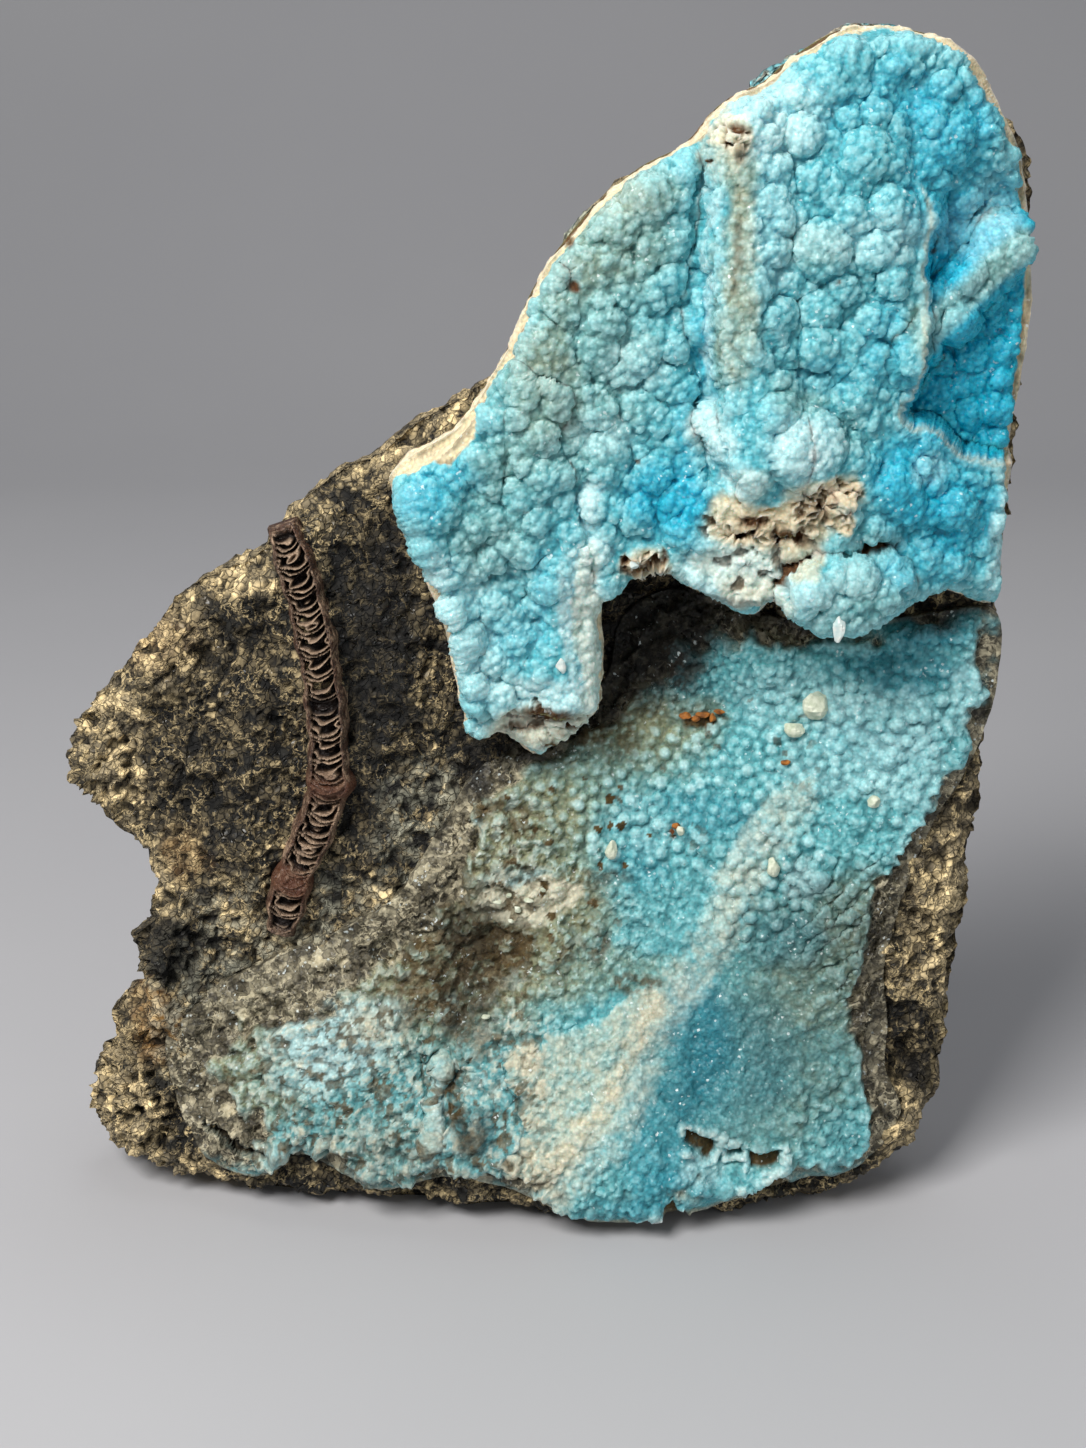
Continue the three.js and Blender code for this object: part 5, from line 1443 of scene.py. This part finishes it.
flakes = sums(grit, "MAXIMUM", multiply(grit, chosen, patchy),
              multiply(grit, curl, spread(grit, cloud(grit, 0.005, 3), 0.45, 0.55)))
light = multiply(grit, flakes, spread(grit, given["Amount"], 0.0, 0.5, 0.5, 1.0))
inner = spread(grit, cells(grit, moved, scale, feature="DISTANCE_TO_EDGE")["Distance"], 0.0, 0.12)
body = multiply(grit, patchy, spread(grit, given["Amount"], 0.1, 0.8, 0.06, 0.6))
half = mix(grit, body, given["Dark"], given["Light"])
half = mix(grit, spread(grit, inner, 0.0, 1.0, 0.7, 0.0), half, (0, 0, 0, 1))
color = mix(grit, light, half, given["Light"])
tint = spread(grit, cloud(grit, 0.009), 0.3, 0.7, 0.7, 1.25)
height = sums(grit, "ADD", sums(grit, "ADD", split[1], inner), light)
feed(grit, result, {"Color": scaled(grit, color, tint), "Height": height})

# %% [markdown]
# ## The finishes
# Hemimorphite is translucent: light enters a bubble and comes out beside it, so the crusts get a
# little subsurface scattering. Their creases are painted a deeper, darker blue, painted shade for
# the light that passes through more of the mineral there, and their crowns get a painted
# highlight. The rock is dull and earthy, with painted shade in its creases and a painted highlight
# on its crowns. Broken rims of the crust are chalky.

# %% Materials for the crusts
def new_material(name, slot_color):
    """An empty node material and its Principled shader."""
    material = bpy.data.materials.new(name)
    material.use_nodes = True
    material.diffuse_color = slot_color
    tree = material.node_tree
    return material, tree, tree.nodes["Principled BSDF"]


def crust_material(name, colors, crisp, tilt, rocky=False):
    """The blue mineral: tones by mask with painted highlights on crowns and painted shade in
    creases, painted shade and highlights on the sugar grains, painted white glints on a few facets,
    a fine bump, some scattering. A rocky crust fades into the rock's grit and gets painted shade by
    its shade mask."""
    material, tree, shader = new_material(name, colors["Base"])
    inputs = dict(colors, Crisp=crisp)
    for label in ("Deep", "Pale", "Olive", "Cream", "Stain", "Crease"):
        inputs[label] = mask(tree, label.lower())
    color = use(tree, tones, inputs)["Color"]
    if rocky:
        gritty = use(tree, grit, {"Dark": rgb(84, 78, 62), "Light": rgb(204, 194, 164),
                                  "Amount": 0.4, "Size": 0.0014})
        color = mix(tree, mask(tree, "fade"), color, gritty["Color"])
        # Painted shade: the druse is darkened where the shade mask is set.
        color = scaled(tree, color, spread(tree, mask(tree, "shade"), 0.0, 1.0, 1.0, 0.08))
    speckle = cells(tree, place(tree), 1250.0)["Distance"]
    # Painted highlight in the middle of each sugar grain, painted shade at its border.
    color = scaled(tree, color, spread(tree, speckle, 0.1, 0.7, 1.14, 0.8))
    facet = use(tree, facets, {"Size": SUGAR, "Tilt": tilt})
    # Painted glints: a few facets are mixed towards white.
    glint = spread(tree, facet["Random"], 0.965, 0.98, 0.0, 0.6)
    glint = multiply(tree, glint, spread(tree, cloud(tree, 0.004), 0.5, 0.6))
    bumps = sums(tree, "SUBTRACT", cloud(tree, 0.0008, 3), speckle)
    dull = multiply(tree, sums(tree, "ADD", mask(tree, "cream"), mask(tree, "stain")), 0.4)
    polish = spread(tree, facet["Random"], 0.82, 0.9, 0.5, 0.14)
    feed(tree, shader, {
        "Base Color": mix(tree, glint, color, rgb(236, 248, 248)),
        "Normal": relief(tree, bumps, 0.5, 0.0004, facet["Normal"]),
        "Roughness": sums(tree, "ADD", polish, dull, clamp=True),
        "Subsurface Weight": spread(tree, mask(tree, "fade"), 0.0, 0.5, 0.6, 0.05) if rocky
        else 0.75,
        "Subsurface Radius": (0.6, 0.9, 1.0), "Subsurface Scale": 0.0038, "IOR": 1.45})
    return material


BLUE = {"Base": rgb(92, 186, 198), "Deep color": rgb(0, 176, 206),
        "Pale color": rgb(200, 240, 242), "Olive color": rgb(146, 164, 142),
        "Cream color": rgb(232, 218, 182), "Stain color": rgb(92, 62, 34)}
DRUSE = {"Base": rgb(98, 176, 182), "Deep color": rgb(20, 138, 158),
         "Pale color": rgb(190, 230, 232), "Olive color": rgb(142, 147, 114),
         "Cream color": rgb(212, 210, 186), "Stain color": rgb(80, 63, 28)}
SUGAR = 0.0004  # metres across one glittering face
upper.data.materials.append(crust_material("blue_mineral", BLUE, crisp=0.3, tilt=0.3))
lower.data.materials.append(crust_material("druse", DRUSE, crisp=0.45, tilt=0.4, rocky=True))

# %% Material for the rock
material, tree, shader = new_material("gossan_rock", rgb(70, 60, 50))
tan, shade = mask(tree, "tan"), mask(tree, "shade")
# Painted shade also thins the light grains where the shade mask is set.
amount = multiply(tree, sums(tree, "MULTIPLY_ADD", tan, 0.6, 0.2),
                  spread(tree, shade, 0, 1, 1.0, 0.2))
gritty = use(tree, grit, {"Dark": rgb(22, 20, 14), "Light": rgb(244, 218, 164),
                          "Amount": amount, "Size": 0.0014})
color = mix(tree, multiply(tree, tan, spread(tree, cloud(tree, 0.003), 0.35, 0.65)),
            gritty["Color"], mix(tree, 0.75, gritty["Color"], rgb(192, 174, 138)))
color = mix(tree, mask(tree, "ochre"), color, mix(tree, 0.5, color, rgb(170, 120, 45)))
haze = multiply(tree, mask(tree, "film"), spread(tree, cloud(tree, 0.003), 0.42, 0.58))
color = mix(tree, haze, color, mix(tree, 0.8, color, rgb(168, 166, 146)))
sheets = mix(tree, spread(tree, cloud(tree, 0.005), 0.42, 0.55), rgb(120, 196, 206),
             rgb(214, 204, 180))
color = mix(tree, multiply(tree, mask(tree, "sheet"), 0.95), color, sheets)
# Painted shade in the creases and a painted highlight on the crowns, from the crease mask, and
# painted shade where the shade mask is set.
hollow = multiply(tree, spread(tree, mask(tree, "crease"), 0.3, 0.9, 1.3, 0.2),
                  spread(tree, shade, 0, 1, 1.0, 0.16))
facet = use(tree, facets, {"Size": 0.0009, "Tilt": 0.35})
feed(tree, shader, {"Base Color": scaled(tree, color, hollow),
                    "Normal": relief(tree, gritty["Height"], 0.9, 0.0006, facet["Normal"]),
                    "Roughness": spread(tree, facet["Random"], 0.0, 0.25, 0.3, 0.85)})
matrix.data.materials.append(material)

# %% Material for the vein
material, tree, shader = new_material("vein_goethite", rgb(100, 70, 55))
gritty = use(tree, grit, {"Dark": rgb(76, 50, 36), "Light": rgb(176, 148, 122),
                          "Amount": 0.35, "Size": 0.0009})
color = mix(tree, multiply(tree, mask(tree, "crest"), 0.7), gritty["Color"], rgb(186, 160, 134))
color = mix(tree, multiply(tree, mask(tree, "solid"), 0.75), color, rgb(82, 42, 20))
bumps = sums(tree, "ADD", gritty["Height"], cloud(tree, 0.0006, 3))
# Painted shade: near black in the gaps between the lamellae.
feed(tree, shader, {
    "Base Color": mix(tree, spread(tree, mask(tree, "gap"), 0.25, 0.8), color, rgb(26, 14, 9)),
    "Normal": relief(tree, bumps, 0.6, 0.0003),
    "Roughness": spread(tree, cloud(tree, 0.002), 0.35, 0.65, 0.4, 0.75)})
vein.data.materials.append(material)

# %% Materials for the grains and the paper
def grain_material(name, light, dark, gloss):
    """A small crystal: two tones in slow clouds, facets, and a soft shine."""
    material, tree, shader = new_material(name, light)
    facet = use(tree, facets, {"Size": 0.0008, "Tilt": 0.25})
    feed(tree, shader, {
        "Base Color": mix(tree, spread(tree, cloud(tree, 0.0012), 0.35, 0.7), light, dark),
        "Normal": relief(tree, cloud(tree, 0.0005, 3), 0.5, 0.0002, facet["Normal"]),
        "Roughness": spread(tree, facet["Random"], 0, 1, gloss, gloss + 0.25)})
    return material


white_grains.data.materials.append(
    grain_material("white_crystal", rgb(226, 230, 224), rgb(180, 206, 206), 0.25))
cream_grains.data.materials.append(
    grain_material("cream_crystal", rgb(222, 226, 206), rgb(180, 190, 164), 0.35))
rust_grains.data.materials.append(
    grain_material("rust", rgb(176, 110, 40), rgb(92, 50, 20), 0.7))

paper, tree, shader = new_material("paper", rgb(176, 176, 180))
feed(tree, shader, {
    "Base Color": mix(tree, spread(tree, cloud(tree, 0.4), 0.3, 0.7), rgb(173, 173, 177),
                      rgb(179, 179, 182)), "Roughness": 0.8})
floor.data.materials.append(paper)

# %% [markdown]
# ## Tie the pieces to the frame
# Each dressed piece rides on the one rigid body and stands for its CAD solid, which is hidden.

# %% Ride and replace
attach(matrix, "root")
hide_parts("matrix")
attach(upper, "root")
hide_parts("upper_crust")
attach(lower, "root")
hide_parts("lower_crust")
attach(vein, "root")
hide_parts("ribbed_vein")
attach(white_grains, "root")
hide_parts("upper_crust")
for grain in (cream_grains, rust_grains):
    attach(grain, "root")
    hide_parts("lower_crust")
